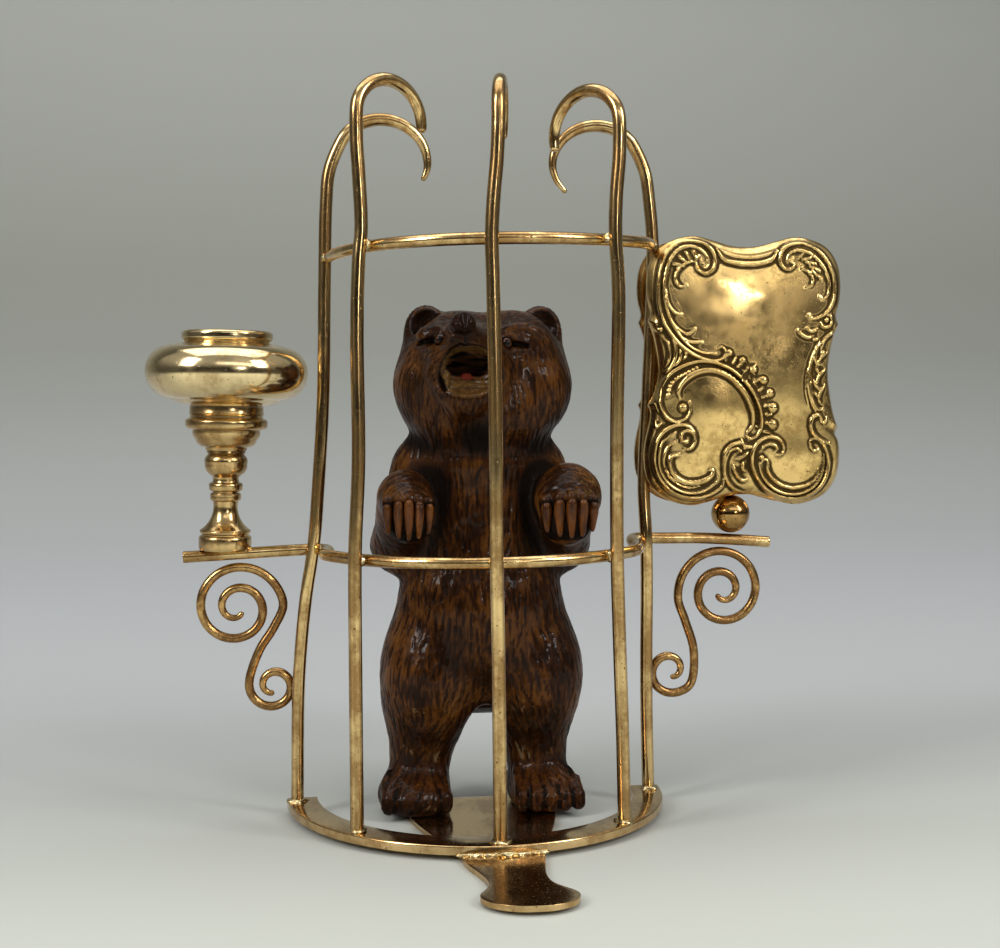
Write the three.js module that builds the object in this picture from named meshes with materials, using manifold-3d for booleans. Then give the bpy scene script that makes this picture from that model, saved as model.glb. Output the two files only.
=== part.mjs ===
// Brass smoking stand: a carved wooden bear stands up on its hind legs inside a cage of five hooked bars.
// The left arm carries a turned cup, the right arm an embossed clip for a matchbox.
// Millimetres, +Z up. The origin is on the floor, under the centre of the half ring that the bars stand on.
// The viewer stands on the -Y side, and left and right are the viewer's.
import * as THREE from "three";
import { mergeVertices } from "three/addons/utils/BufferGeometryUtils.js";
import { SimplifyModifier } from "three/addons/modifiers/SimplifyModifier.js";
import Module from "manifold-3d";

const wasm = await Module();
wasm.setup();

// Base
const PLATE_THICKNESS = 1.2;
const TONGUE_HALF_WIDTH = 9.7;
const TONGUE_WAIST = 60.5;
const TONGUE_WIDEST = 71;
const TONGUE_TIP = 78.6;
const TONGUE_LIFT = 0.9;
const RING_OUTER = 44.7;
const RING_INNER = 37.5;
const RING_THICKNESS = 2.1;

// Wires
const BAR_RADIUS = 1.48;
const HOOP_RADIUS = 1.36;
const SCROLL_RADIUS = 1.05;
const BAR_SIDES = 8;
const ARM_Y = -2.1;
const LOWER_HOOP_Z = 62.4;
const UPPER_HOOP_Z = 130.8;

// Cup on its turned stem
const STEM_X = -58.4;
const STEM_BOTTOM = 62.4;
const STEM_LEAN = 1.25;
const SEAT_GAP = 0.3;
const BOWL_RADIUS = 18.5;
const BOWL_WALL = 1.1;

// Matchbox clip
const CLIP_X = 63.6;
const CLIP_Z = 103.4;
const CLIP_FRONT_Y = -6.4;
const CLIP_BACK_Y = 2.2;
const CLIP_SHEET = 0.9;
const CLIP_DOME = 1.6;
const CLIP_RIM = 2;
const RELIEF_RADIUS = 0.95;
const PEARL_RADIUS = 1.35;
const FRONT_TRIANGLES = 1400;
const BACK_TRIANGLES = 460;
const BALL_X = 62.1;
const BALL_Z = 69.2;
const BALL_RADIUS = 4.6;
const STRIP_WIDTH = 13;
const STRIP_THICKNESS = 1.2;

// Bear
const SOLE_Z = 1.5;
const BEAR_CELL = 1.5;
const BEAR_TRIANGLES = 2950;
const EYE_RADIUS = 1.35;

const brass = (color) => new THREE.MeshStandardMaterial({ color, roughness: 0.28, metalness: 1 });
const group = new THREE.Group();

function add(name, geometry, material) {
  const mesh = new THREE.Mesh(geometry, material);
  mesh.name = name;
  group.add(mesh);
  return mesh;
}

function solid(geometry) {
  const bare = new THREE.BufferGeometry();
  bare.setAttribute("position", geometry.getAttribute("position"));
  bare.setIndex(geometry.index);
  const merged = mergeVertices(bare, 1e-4);
  return new wasm.Manifold(
    new wasm.Mesh({
      numProp: 3,
      vertProperties: Float32Array.from(merged.attributes.position.array),
      triVerts: Uint32Array.from(merged.index.array),
    }),
  );
}

function geometryOf(body) {
  const mesh = body.getMesh();
  const geometry = new THREE.BufferGeometry();
  geometry.setAttribute("position", new THREE.BufferAttribute(new Float32Array(mesh.vertProperties), 3));
  geometry.setIndex([...mesh.triVerts]);
  geometry.computeVertexNormals();
  return geometry;
}

// The same skin with about the given number of faces, fewest where it is flat.
async function coarser(geometry, faces) {
  const bare = new THREE.BufferGeometry();
  bare.setAttribute("position", geometry.getAttribute("position"));
  bare.setIndex(geometry.index);
  const extra = geometry.index.count / 3 - faces;
  return extra > 0 ? new SimplifyModifier().modify(bare, Math.round(extra / 2)) : bare;
}

// A curve that is stepped from one given point to the next, so a bend gets as many steps as it has points.
class SteppedCurve extends THREE.CatmullRomCurve3 {
  getPointAt(u, target) {
    return this.getPoint(u, target);
  }
  getTangentAt(u, target) {
    return this.getTangent(u, target);
  }
}

// A closed round wire through the points, with its radius as a function of the way along it, 0 to 1.
function wire(points, radius, sides, radiusAt = () => radius) {
  const path = new SteppedCurve(points.map((p) => new THREE.Vector3(...p)), false, "centripetal");
  const steps = points.length - 1;
  const section = new THREE.Shape();
  for (let i = 0; i < sides; i++) {
    const a = (i / sides) * 2 * Math.PI;
    const x = radius * Math.cos(a);
    const y = radius * Math.sin(a);
    i ? section.lineTo(x, y) : section.moveTo(x, y);
  }
  section.closePath();
  const geometry = new THREE.ExtrudeGeometry(section, { steps, extrudePath: path, bevelEnabled: false });
  const centres = path.getSpacedPoints(steps);
  const position = geometry.getAttribute("position");
  const v = new THREE.Vector3();
  for (let i = 0; i < position.count; i++) {
    v.fromBufferAttribute(position, i);
    let near = 0;
    centres.forEach((c, k) => {
      if (c.distanceToSquared(v) < centres[near].distanceToSquared(v)) near = k;
    });
    v.sub(centres[near]).multiplyScalar(radiusAt(near / steps) / radius).add(centres[near]);
    position.setXYZ(i, v.x, v.y, v.z);
  }
  return geometry;
}

// Foot plate: one sheet, a round-ended tongue in front and a flared bell under the bear. t is the distance
// in front of the ring's centre. The tongue leans a little to the right of its root, narrows to a waist,
// widens again to its rounded tip, and is bent up slightly towards it.
const plateMiddle = (t) => 0.2 + 1.75 * Math.max(0, (t - 50) / 28);
const plateHalfWidth = (t) => {
  const past = t - TONGUE_WIDEST;
  if (past > 0) return TONGUE_HALF_WIDTH * Math.sqrt(1 - (past / (TONGUE_TIP - TONGUE_WIDEST)) ** 2);
  const flare = (t - TONGUE_WAIST) / (TONGUE_WIDEST - TONGUE_WAIST);
  if (flare > 0) return 6.2 + (TONGUE_HALF_WIDTH - 6.2) * Math.sin((flare * Math.PI) / 2) ** 3;
  const neck = (TONGUE_WAIST - t) / (TONGUE_WAIST - 44);
  if (neck < 1) return 6.2 + 2.6 * neck * neck * (3 - 2 * neck);
  return 8.8 + 9.6 * Math.sin(((44 - t) / 46) * (Math.PI / 2)) ** 1.1;
};
const plateLift = (t) => TONGUE_LIFT * Math.max(0, (t - 46) / (TONGUE_TIP - 46)) ** 2;
{
  const bell = [-2, 2, 8, 14, 20, 26, 32, 38, 44, 46, 49, 52, 55, 58];
  const tongue = [60.5, 62, 63.5, 65.5, 68, 71, 73, 75, 76.6, 77.8, 78.5];
  const points = [];
  const index = [];
  [...bell, ...tongue].forEach((t, i) => {
    const low = plateLift(t);
    const high = low + PLATE_THICKNESS;
    const [left, right] = [-1, 1].map((side) => plateMiddle(t) + side * plateHalfWidth(t));
    points.push(right, -t, low, right, -t, high, left, -t, high, left, -t, low);
    if (!i) return;
    for (let k = 0; k < 4; k++) {
      const [a, b] = [4 * i + k, 4 * i + ((k + 1) % 4)];
      index.push(a - 4, b - 4, b, a - 4, b, a);
    }
  });
  const last = points.length / 3 - 4;
  index.push(0, 2, 1, 0, 3, 2, last, last + 1, last + 2, last, last + 2, last + 3);
  const sheet = new THREE.BufferGeometry();
  sheet.setAttribute("position", new THREE.Float32BufferAttribute(points, 3));
  sheet.setIndex(index);
  sheet.computeVertexNormals();
  add("foot_plate", sheet, brass(0xb58b45));
}

// Half ring: flat strip on top of the foot plate, its ends cut square just behind the end bars.
{
  const band = new THREE.Shape();
  band.absarc(0, 0, RING_OUTER, Math.PI + 0.02, 2 * Math.PI - 0.02, false);
  band.absarc(0, 0, RING_INNER, 2 * Math.PI - 0.02, Math.PI + 0.02, true);
  band.closePath();
  const options = { depth: RING_THICKNESS, bevelEnabled: false, curveSegments: 18 };
  const ring = new THREE.ExtrudeGeometry(band, options);
  ring.translate(0, 0, PLATE_THICKNESS);
  add("ring_band", ring, brass(0xb98d48));
}

// Cage bars: each rises from the ring, wanders a little as bent by hand, and ends in a hook that arches
// inwards. way: [x, y, z] up the bar. hook: heading in plan, reach, height of its shoulder and crown,
// length of its tail and how far the tip curls back, and the tip's share of the wire's radius.
const BARS = {
  bar_left_back: {
    way: [
      [-42.3, -3.8, 3.6], [-41.7, -4.6, 32], [-40.1, -5.3, 50], [-38, -5.6, 64], [-37, -5.3, 76],
      [-35.6, -4.6, 98], [-35.1, -4, 124], [-34.6, -4, 142], [-33.9, -4, 149],
    ],
    hook: {
      heading: [1, 0.05], start: 1.6, reach: 22.8, shoulder: 151.5, crown: 161.3,
      tail: 4, curl: 1.2, tip: 0.4,
    },
  },
  bar_left_front: {
    way: [
      [-29.7, -30.2, 3.6], [-29.8, -29.5, 40], [-29.7, -28.9, 64], [-28.8, -28.2, 84], [-28.9, -26.9, 112],
      [-28.4, -26.3, 127], [-27.8, -26.1, 134], [-28.3, -26.1, 146], [-28.7, -26.1, 153],
    ],
    hook: {
      heading: [0.785, 0.617], start: -0.2, reach: 19.3, shoulder: 158, crown: 166.8,
      tail: 1.5, curl: 0, tip: 0.72,
    },
  },
  bar_centre: {
    way: [
      [0, -41.9, 3.6], [-0.4, -42.4, 40], [-0.8, -42.4, 64], [-0.9, -41.9, 95], [-1.3, -41.1, 122],
      [-1.5, -41, 131], [-1.1, -41, 139], [-0.4, -41, 147], [-0.1, -41, 154],
    ],
    hook: {
      heading: [0.2, 0.98], start: 0, reach: 18.6, shoulder: 156.4, crown: 164.7,
      tail: 2.5, curl: 0.3, tip: 0.6,
    },
  },
  bar_right_front: {
    way: [
      [29.6, -30.2, 3.6], [28.7, -31.5, 26], [27.8, -32.6, 44], [27, -33.5, 64], [26.8, -33.9, 92],
      [27, -34.2, 120], [26.3, -34.3, 132], [26.4, -34.3, 140], [27.1, -34.3, 150],
    ],
    hook: {
      heading: [-0.57, 0.82], start: -0.2, reach: 19.7, shoulder: 155.2, crown: 164.2,
      tail: 3, curl: 0.2, tip: 0.7,
    },
  },
  bar_right_back: {
    way: [
      [41.6, -3.8, 3.6], [40.8, -4.8, 28], [40.6, -5.7, 54], [40.4, -5.8, 64], [40.1, -4.4, 76],
      [41.2, -3.4, 98], [42.1, -3.2, 118], [42.3, -3.2, 134], [41.3, -3.2, 145], [40.5, -3.2, 150],
    ],
    hook: {
      heading: [-0.997, 0.075], start: 1.5, reach: 22, shoulder: 152, crown: 161.1,
      tail: 6.6, curl: 3.2, tip: 0.4,
    },
  },
};

function hookPoints([x, y], { heading, start, reach, shoulder, crown, tail, curl }) {
  const points = [];
  const half = (reach - start) / 2;
  const put = (s, z) => points.push([x + heading[0] * s, y + heading[1] * s, z]);
  for (let a = 160; a >= 0; a -= 20) {
    const t = (a * Math.PI) / 180;
    put(start + half + half * Math.cos(t), shoulder + (crown - shoulder) * Math.sin(t));
  }
  for (const u of [0.5, 1]) put(reach - curl * u * u, shoulder - tail * u);
  return points;
}

for (const [name, { way, hook }] of Object.entries(BARS)) {
  const foot = way[way.length - 1];
  const points = [...way, ...hookPoints([foot[0], foot[1]], hook)];
  const taperFrom = 0.62;
  const radiusAt = (u) => {
    const t = Math.max(0, (u - taperFrom) / (1 - taperFrom));
    return BAR_RADIUS * (1 - (1 - hook.tip) * t ** 1.6);
  };
  add(name, wire(points, BAR_RADIUS, BAR_SIDES, radiusAt), brass(0xc29a52));
}

// Lower hoop: one wire runs inside the bars and turns outwards behind the end bars as the two side arms.
const LEFT_ARM = [[-68, ARM_Y, 60.7], [-58, ARM_Y, 61.2], [-48, ARM_Y, 61.7], [-41, ARM_Y, 62]];
{
  const points = [...LEFT_ARM, [-37.9, -2.2, 62.1], [-35.5, -3.7, 62.1], [-34.7, -7, 62.1]];
  for (let a = -68; a <= 60; a += 11.6) {
    const t = ((a - 2.9) * Math.PI) / 180;
    points.push([1.3 + 39.2 * Math.sin(t), -0.1 - 39.2 * Math.cos(t), LOWER_HOOP_Z + 0.45 * Math.sin(t)]);
  }
  points.push([37, -12, 62.9], [36.7, -7.4, 63.3], [38.1, -3, 63.6], [41.2, -2.1, 63.6]);
  points.push([45, ARM_Y, 63.5], [54, ARM_Y, 63.4], [63, ARM_Y, 62.9], [71.8, ARM_Y, 62.2]);
  add("lower_hoop", wire(points, HOOP_RADIUS, 8), brass(0xbd944c));
}

// Upper hoop: its ends butt against the end bars and droop on the left and rise on the right.
{
  const points = [];
  const steps = 16;
  for (let i = 0; i <= steps; i++) {
    const t = ((-81.5 + (159.5 * i) / steps) * Math.PI) / 180;
    const x = 3.4 + 37.8 * Math.sin(t);
    const side = x / 40;
    const bend = side < 0 ? 1.5 : 1.2;
    points.push([x, -0.3 - 37.8 * Math.cos(t), UPPER_HOOP_Z + 0.0177 * x + bend * side ** 5]);
  }
  points.push([41.3, -5.1, points[steps][2] + 0.1]);
  add("upper_hoop", wire(points, HOOP_RADIUS, 8), brass(0xbd944c));
}

// Scroll brackets: a large volute under the arm runs down into a small volute at the end bar.
// centre, first radius, growth per radian, first angle, turn and sense of each volute, from its inner end.
function volute({ centre, radius, growth, from, turn, sense }, step) {
  const points = [];
  const count = Math.round(turn / step);
  for (let i = 0; i <= count; i++) {
    const swept = ((turn * i) / count) * (Math.PI / 180);
    const a = (from * Math.PI) / 180 + sense * swept;
    const r = radius + growth * swept;
    points.push([centre[0] + r * Math.cos(a), ARM_Y, centre[1] + r * Math.sin(a)]);
  }
  return points;
}
const SCROLLS = {
  scroll_left: {
    upper: { centre: [-55.8, 48.7], radius: 1.5, growth: 0.77, from: -36.6, turn: 680, sense: -1 },
    middle: [[-47.4, 44], [-50.8, 38.6]],
    lower: { centre: [-47.6, 30.3], radius: 1.6, growth: 0.5, from: -82.7, turn: 465, sense: -1 },
  },
  scroll_right: {
    upper: { centre: [60.1, 50.5], radius: 1.4, growth: 0.79, from: -147, turn: 696, sense: 1 },
    middle: [[50.9, 43.8], [53.2, 36]],
    lower: { centre: [47.4, 31.4], radius: 1.5, growth: 0.63, from: -89.5, turn: 415, sense: 1 },
  },
};
for (const [name, { upper, middle, lower }] of Object.entries(SCROLLS)) {
  const points = [
    ...volute(upper, 30),
    ...middle.map(([x, z]) => [x, ARM_Y, z]),
    ...volute(lower, 32).reverse(),
  ];
  const radiusAt = (u) => SCROLL_RADIUS * Math.min(1, 0.6 + 2 * u, 0.6 + 2.4 * (1 - u));
  add(name, wire(points, SCROLL_RADIUS, 5, radiusAt), brass(0xb2873f));
}

// Turned stem: foot band, flared foot, beads, neck and the cup-shaped socket under the bowl.
// Radius and height above the stem's bottom.
const STEM = [
  [0, 0], [6, 0], [6, 3.1], [5.4, 3.6], [5.8, 4.4], [4.2, 6.1], [2.8, 11.2], [3.5, 12.5], [2.9, 13.6],
  [3.8, 14.8], [3.2, 16.6], [4.3, 18.1], [4.9, 19.9], [4.3, 22.1], [5.3, 23.4], [7.6, 25.4],
  [8.4, 27.6], [9.4, 29.3], [8.6, 30.8], [8.5, 32.9], [0, 32.9],
];
function turned(profile, segments) {
  const g = new THREE.LatheGeometry(profile.map(([r, h]) => new THREE.Vector2(r, h)), segments);
  g.rotateX(Math.PI / 2);
  g.rotateY((STEM_LEAN * Math.PI) / 180);
  g.translate(STEM_X, ARM_Y, STEM_BOTTOM);
  return g;
}
{
  const groove = wire(LEFT_ARM, HOOP_RADIUS + SEAT_GAP, 8);
  const stem = solid(turned(STEM, 15)).subtract(solid(groove));
  add("holder_stem", geometryOf(stem), brass(0xc4a262));
}

// Bowl: squat and hollow, with a rolled lip round its open mouth. The profile runs up the outside and back
// inside.
{
  const belly = [[17.2, 37.8], [BOWL_RADIUS, 41.2], [17.2, 44.6]];
  const outside = [[0, 33.2], [8.4, 33.2], [13.4, 35.1], ...belly, [13.6, 46.7]];
  const lip = [[10, 47.7], [10.35, 49.2], [9.6, 50.5], [8.7, 50], [8.6, 47.7]];
  const hollow = [[16.2, 43.9], [BOWL_RADIUS - BOWL_WALL, 41.2], [16.2, 38.5]];
  const inside = [[12.6, 45.7], ...hollow, [12.8, 36.1], [8, 34.4]];
  add("holder_bowl", turned([...outside, ...lip, ...inside, [0, 34.4]], 18), brass(0xc9ab6c));
}

// Clip ball on the right arm.
{
  const sphere = new THREE.SphereGeometry(BALL_RADIUS, 14, 8);
  sphere.rotateX(Math.PI / 2);
  sphere.translate(BALL_X, ARM_Y, BALL_Z);
  add("clip_ball", sphere, brass(0xbf9550));
}

// Clip plates: a cushion outline with four lobed corners, a cusp beside each and hollow sides. One quarter
// in x and z, with its cusp at the given height and its lobe as wide as given.
const quarterOutline = (cusp, lobe) => [
  [21.2, 0.4 * cusp], [22.2, 0.78 * cusp], [23.2, cusp], [22.6, cusp + 1.7], [lobe - 0.2, 17], [lobe, 21],
  [lobe - 0.8, 25.4], [20.4, 29], [16.6, 31], [12.2, 31.7], [7.4, 30.6], [3.4, 29.5],
];
const clipOutline = [];
const QUARTERS = [[1, 1, 11.2, 23.6], [-1, 1, 11.8, 23.6], [-1, -1, 8, 24.1], [1, -1, 13.3, 23.7]];
QUARTERS.forEach(([sx, sz, cusp, lobe], q) => {
  const quarter = quarterOutline(cusp, lobe).map(([x, z]) => [sx * x, sz * z]);
  clipOutline.push(q % 2 ? [0, sz * 29.2] : [sx * 20.7, 0]);
  clipOutline.push(...(q % 2 ? quarter.reverse() : quarter));
});

// How far the sheet stands out at a share of the way from its middle (0) to its edge (1): a low dome, and
// a rim that falls back to the edge.
function clipRise(share) {
  const t = Math.min(1, (1 - share) / 0.085);
  return CLIP_DOME * (1 - share * share) + CLIP_RIM * t * (2 - t);
}

// The sheet as rings from the middle to the edge, a front skin and a back skin. side is -1 for the front
// plate.
function clipSheet(side) {
  const positions = [];
  const index = [];
  const n = clipOutline.length;
  const skin = (shares, lift, back) => {
    const first = positions.length / 3;
    positions.push(0, side * (clipRise(0) + lift), 0);
    shares.forEach((s) => {
      clipOutline.forEach(([x, z]) => positions.push(x * s, side * (clipRise(s) + lift), z * s));
    });
    for (let k = 0; k < shares.length; k++) {
      for (let i = 0; i < n; i++) {
        const j = (i + 1) % n;
        const a = first + 1 + k * n + i;
        const b = first + 1 + k * n + j;
        const faces = k ? [[a - n, a, b], [a - n, b, b - n]] : [[first, a, b]];
        faces.forEach((f) => index.push(...(back ? [...f].reverse() : f)));
      }
    }
    return first + 1 + (shares.length - 1) * n;
  };
  const outer = skin([0.6, 0.92, 0.96, 1], CLIP_SHEET, side > 0);
  const inner = skin([0.92, 1], 0, side < 0);
  for (let i = 0; i < n; i++) {
    const j = (i + 1) % n;
    const rim = [[outer + j, outer + i, inner + i], [outer + j, inner + i, inner + j]];
    rim.forEach((f) => index.push(...(side > 0 ? [...f].reverse() : f)));
  }
  const g = new THREE.BufferGeometry();
  g.setAttribute("position", new THREE.Float32BufferAttribute(positions, 3));
  g.setIndex(index);
  return g;
}

// How far the front plate's skin stands in front of its edge plane at x and z. The share is measured along
// the ray from the middle to the outline.
function clipFrontRise(x, z) {
  const wrapped = (a) => ((a + 3 * Math.PI) % (2 * Math.PI)) - Math.PI;
  let edge = 1;
  clipOutline.forEach(([ax, az], i) => {
    const [bx, bz] = clipOutline[(i + 1) % clipOutline.length];
    const start = Math.atan2(az, ax);
    const t = wrapped(Math.atan2(z, x) - start) / wrapped(Math.atan2(bz, bx) - start);
    if (t >= 0 && t < 1) edge = Math.hypot(ax + (bx - ax) * t, az + (bz - az) * t);
  });
  return clipRise(Math.min(1, Math.hypot(x, z) / edge)) + CLIP_SHEET;
}

// Raised scrollwork on the front plate, each ridge through its points in x and z, and a row of pearls.
const RELIEF = [
  // Upper left volute, down the border and under to a small curl, with a hook inside it
  [[-12, 26.6], [-12.4, 24.6], [-10.3, 22.9], [-8.3, 24.6], [-8.9, 28], [-12, 30], [-16.3, 29.6],
    [-19.5, 26.6], [-20.9, 22], [-20.9, 16], [-19.2, 10], [-15.5, 5.5], [-10.5, 2.8], [-6.5, 2.9], [-5.9, 5]],
  [[-13, 25.4], [-16, 24.4], [-17.3, 22], [-16.4, 19.8]],
  // Bar at the top
  [[-7.2, 28], [-5, 25.7], [0, 25], [5, 25.7], [7.1, 28]],
  // Upper right volute round the corner, with a hook inside it
  [[11.2, 25.2], [9.6, 24], [8, 25.6], [8.6, 28.4], [12, 29.8], [16.3, 28.5], [19.8, 24.6], [20.8, 19.5],
    [20, 15], [17.5, 12.8], [15, 12.8]],
  [[12.8, 24.2], [15.2, 23], [15.7, 20.6], [14, 19.6]],
  // Leaves and garland down the right side, and the volute under them
  [[12, 9.6], [14.6, 8], [17, 9.6]],
  [[20.6, 9], [18.2, 6.4], [16.6, 3], [18, 1.4]],
  [[15.2, 0], [15.2, -5], [17.4, -9]],
  [[18.6, -12], [16.2, -11], [16, -14.2], [19, -16.6]],
  // Leaves at the left side
  [[-20, 7.6], [-18.8, 4.4], [-19.8, 1]],
  [[-17.8, 8], [-17.3, 4], [-19, -0.2]],
  // Frame of the medallion, outer and inner ridge
  [[-14.2, -7.2], [-14.6, -10.8], [-17.6, -11.6], [-20.3, -8.6], [-20, -3.4], [-16.5, 0.7], [-10.5, 2],
    [-4, 0.2], [1, -4.8], [3.3, -10.8], [2.6, -15], [0.2, -15.6]],
  [[-16.2, -6.5], [-15, -3], [-10.5, -0.6], [-5.4, -1.9], [-1, -5.9], [0.8, -11], [-0.2, -13.8]],
  // Lower left scroll, outer and inner ridge
  [[-14.6, -16.6], [-13, -15], [-15.4, -13], [-19.6, -14.2], [-22, -18.6], [-21.2, -24.2], [-17, -28.2],
    [-11, -29.2], [-6.4, -27.2]],
  [[-16.6, -19.3], [-18.6, -21.5], [-16.6, -25.6], [-11.5, -26.6], [-8.3, -24]],
  // Leaf at the bottom
  [[-1, -18.6], [-3, -17.4], [-5.2, -19.6], [-5, -24.8], [-2, -27.8], [2, -27.8]],
  // Lower right scroll, outer and inner ridge
  [[16.4, -18.6], [16.6, -16.2], [19.4, -18.4], [20, -23], [17.6, -27.6], [12, -29.6], [6.2, -28.4],
    [2.2, -24.4], [1.8, -18.4], [5.4, -15.7], [8.5, -17.4], [7.4, -19.6]],
  [[17.6, -23.4], [15.4, -26.8], [10.5, -27.5], [6, -25], [4.9, -21.2]],
];
const PEARLS = [[-1.9, 4], [1.9, 0.9], [4.3, -3.1], [6.2, -8], [6.4, -12.4]];

{
  let front = solid(clipSheet(-1));
  for (const line of RELIEF) {
    const points = line.map(([x, z]) => [x, -clipFrontRise(x, z), z]);
    const radiusAt = (u) => RELIEF_RADIUS * (0.6 + 0.4 * Math.sin(Math.PI * u));
    front = front.add(solid(wire(points, RELIEF_RADIUS, 4, radiusAt)));
  }
  for (const [x, z] of PEARLS) {
    const pearl = new THREE.SphereGeometry(PEARL_RADIUS, 6, 4);
    pearl.translate(x, -clipFrontRise(x, z), z);
    front = front.add(solid(pearl));
  }
  const frontPlate = await coarser(geometryOf(front), FRONT_TRIANGLES);
  frontPlate.translate(CLIP_X, CLIP_FRONT_Y, CLIP_Z);
  add("clip_front_plate", frontPlate, brass(0xb08b44));
  const backPlate = await coarser(geometryOf(solid(clipSheet(1))), BACK_TRIANGLES);
  backPlate.translate(CLIP_X, CLIP_BACK_Y, CLIP_Z);
  add("clip_back_plate", backPlate, brass(0xa6823f));
}

// Strip that joins the two plates over the ball.
{
  const length = CLIP_BACK_Y - CLIP_FRONT_Y - 2 * SEAT_GAP;
  const strip = new THREE.BoxGeometry(STRIP_WIDTH, length, STRIP_THICKNESS);
  const bottom = BALL_Z + BALL_RADIUS + SEAT_GAP;
  strip.translate(BALL_X, (CLIP_BACK_Y + CLIP_FRONT_Y) / 2, bottom + STRIP_THICKNESS / 2);
  add("clip_base_strip", strip, brass(0xa6823f));
}

// The bear as rounded masses that melt into each other. ball: centre, three radii, softness of the join.
// limb: two ends with their radii, softness.
const masses = [];
const ball = (c, r, soft) => masses.push({ kind: "ball", c, r, soft });
const limb = (a, ra, b, rb, soft) => masses.push({ kind: "limb", a, ra, b, rb, soft });
const cut = (c, r, soft) => masses.push({ kind: "cut", c, r, soft });

// Trunk, rump and hump of the shoulders
ball([1.4, 0, 46], [20, 17, 25], 1);
ball([1.4, 5, 36], [19.5, 14.5, 16], 5);
ball([1.5, 1.5, 70], [18.5, 15.5, 19], 6);
ball([1.6, 4.5, 85], [16.5, 13, 12], 6);
// Legs and feet
const LEGS = [
  { hip: -10.8, knee: -12.3, ankle: -13.5, foot: -15, toes: -12.2 },
  { hip: 13.8, knee: 13.8, ankle: 14.8, foot: 15.9, toes: -13.4 },
];
for (const { hip, knee, ankle, foot, toes } of LEGS) {
  ball([hip, -1, 32], [12, 14.6, 17], 4);
  limb([knee, -0.5, 23], 8.9, [ankle, -1.5, 9], 7, 4);
  ball([foot, -4.5, 4.2], [8.6, 11.5, 6.2], 3);
  for (let i = 0; i < 5; i++) {
    const x = foot + (i - 2) * 3.3;
    const y = toes - 1.6 * Math.cos((i - 2) * 0.7);
    limb([x, y + 4, 5.6], 2.1, [x, y, 3.4], 1.9, 0.8);
  }
}
// Arms hang at the sides, forearms come forward, paws droop from the wrist, five claws on each
const ARMS = [
  { elbow: -17.6, wrist: -17.6, thick: 6.5, paw: [-17.6, -17.3], spread: 2.35 },
  { elbow: 20.6, wrist: 19.9, thick: 7.8, paw: [18.8, 18.7], spread: 2.7 },
];
ARMS.forEach(({ elbow, wrist, thick, paw, spread }) => {
  const shoulder = elbow < 0 ? -11.7 : 14.7;
  limb([shoulder, 3, 80], 8, [elbow, 0, 62.5], 6.6, 4);
  limb([elbow, -1, 63], 6.4, [wrist, -14, 74.6], thick, 3);
  limb([paw[0], -18.5, 73.5], thick - 1, [paw[1], -20.5, 69.5], thick - 1.8, 2);
  for (let i = 0; i < 5; i++) {
    const x = paw[0] + (i - 2) * spread;
    const y = -24.4 + 0.5 * (i - 2) ** 2;
    limb([x, y, 73.4], 1.25, [x + (i - 2) * 0.1, y - 0.3, 66.6 + 0.35 * (i - 2) ** 2], 0.75, 0.4);
  }
});
// Head, thrown back and turned a little to the left: skull, cheeks, throat, crown, temples and muzzle
ball([2, 0, 103.5], [16.8, 15, 13.6], 4);
ball([-7.8, -2.5, 99.5], [11.2, 12, 13], 4);
ball([10.8, -2.5, 99.8], [12, 12, 13], 4);
ball([1.4, -5.5, 93.5], [14.5, 12, 10], 4);
ball([-5, -2, 109], [10, 12, 8.6], 3);
ball([9, -2, 109], [10, 12, 8.8], 3);
limb([-12.2, 1.5, 111], 4.1, [-13, 1, 101], 5.4, 3);
limb([17.1, 1.5, 111], 4.1, [17.2, 1, 101], 5.6, 3);
ball([-3.4, -13, 104], [9.6, 8.5, 9.6], 3);
limb([-0.8, -10, 107.5], 6.4, [-4.8, -22, 111.6], 4.4, 3);
// Upper lip in two halves, jaw, lower lip, nose and brows
limb([-4.5, -21.3, 109], 3.2, [-10, -16.3, 102.3], 2.8, 2);
limb([-4.5, -21.3, 109], 3.2, [2.8, -15.8, 102.3], 2.8, 2);
limb([-1.5, -9, 97], 6.4, [-4, -16.8, 97], 4.6, 3);
ball([-3.8, -16.2, 98.4], [7, 5.4, 3.4], 2);
ball([-5.5, -25, 113.6], [3.4, 2.6, 2.5], 1);
ball([-10, -12.2, 112.4], [4.2, 2.8, 1.9], 2.5);
ball([8, -12.8, 112.2], [4.6, 2.8, 1.9], 2.5);
// Ears
ball([-11.2, 0.5, 113.4], [5.15, 3.3, 5.7], 1.5);
ball([15.9, 0.5, 113.4], [5.15, 3.3, 5.7], 1.5);
// Ruff: pointed locks that hang from the cheeks over the neck
const RUFF_LOCKS = 15;
for (let i = 0; i < RUFF_LOCKS; i++) {
  const a = ((i / (RUFF_LOCKS - 1)) * 260 - 130) * (Math.PI / 180);
  const drop = i % 2 ? 1.5 : 0;
  const at = (r, z) => [1.5 + r * 1.07 * Math.sin(a), -0.5 - r * 0.93 * Math.cos(a), z];
  limb(at(14.6, 92.5 - drop), 3.2, at(15.1, 86 - drop), 0.9, 1);
}
// Hollows: ears, eye corners, the open mouth and the nostrils' side
cut([-11.6, -3.2, 114.6], [3.6, 2.8, 3.9], 0.8);
cut([16.4, -3.2, 114.6], [3.6, 2.8, 3.9], 0.8);
cut([-11, -15.9, 110.3], [3, 1.5, 1.6], 0.8);
cut([7, -15.2, 109.6], [3, 1.5, 1.6], 0.8);
cut([-3.6, -23.5, 103], [7.4, 6.3, 5.3], 1.2);
cut([-4.4, -20.5, 103.3], [5.5, 10, 4.7], 1);

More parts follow.
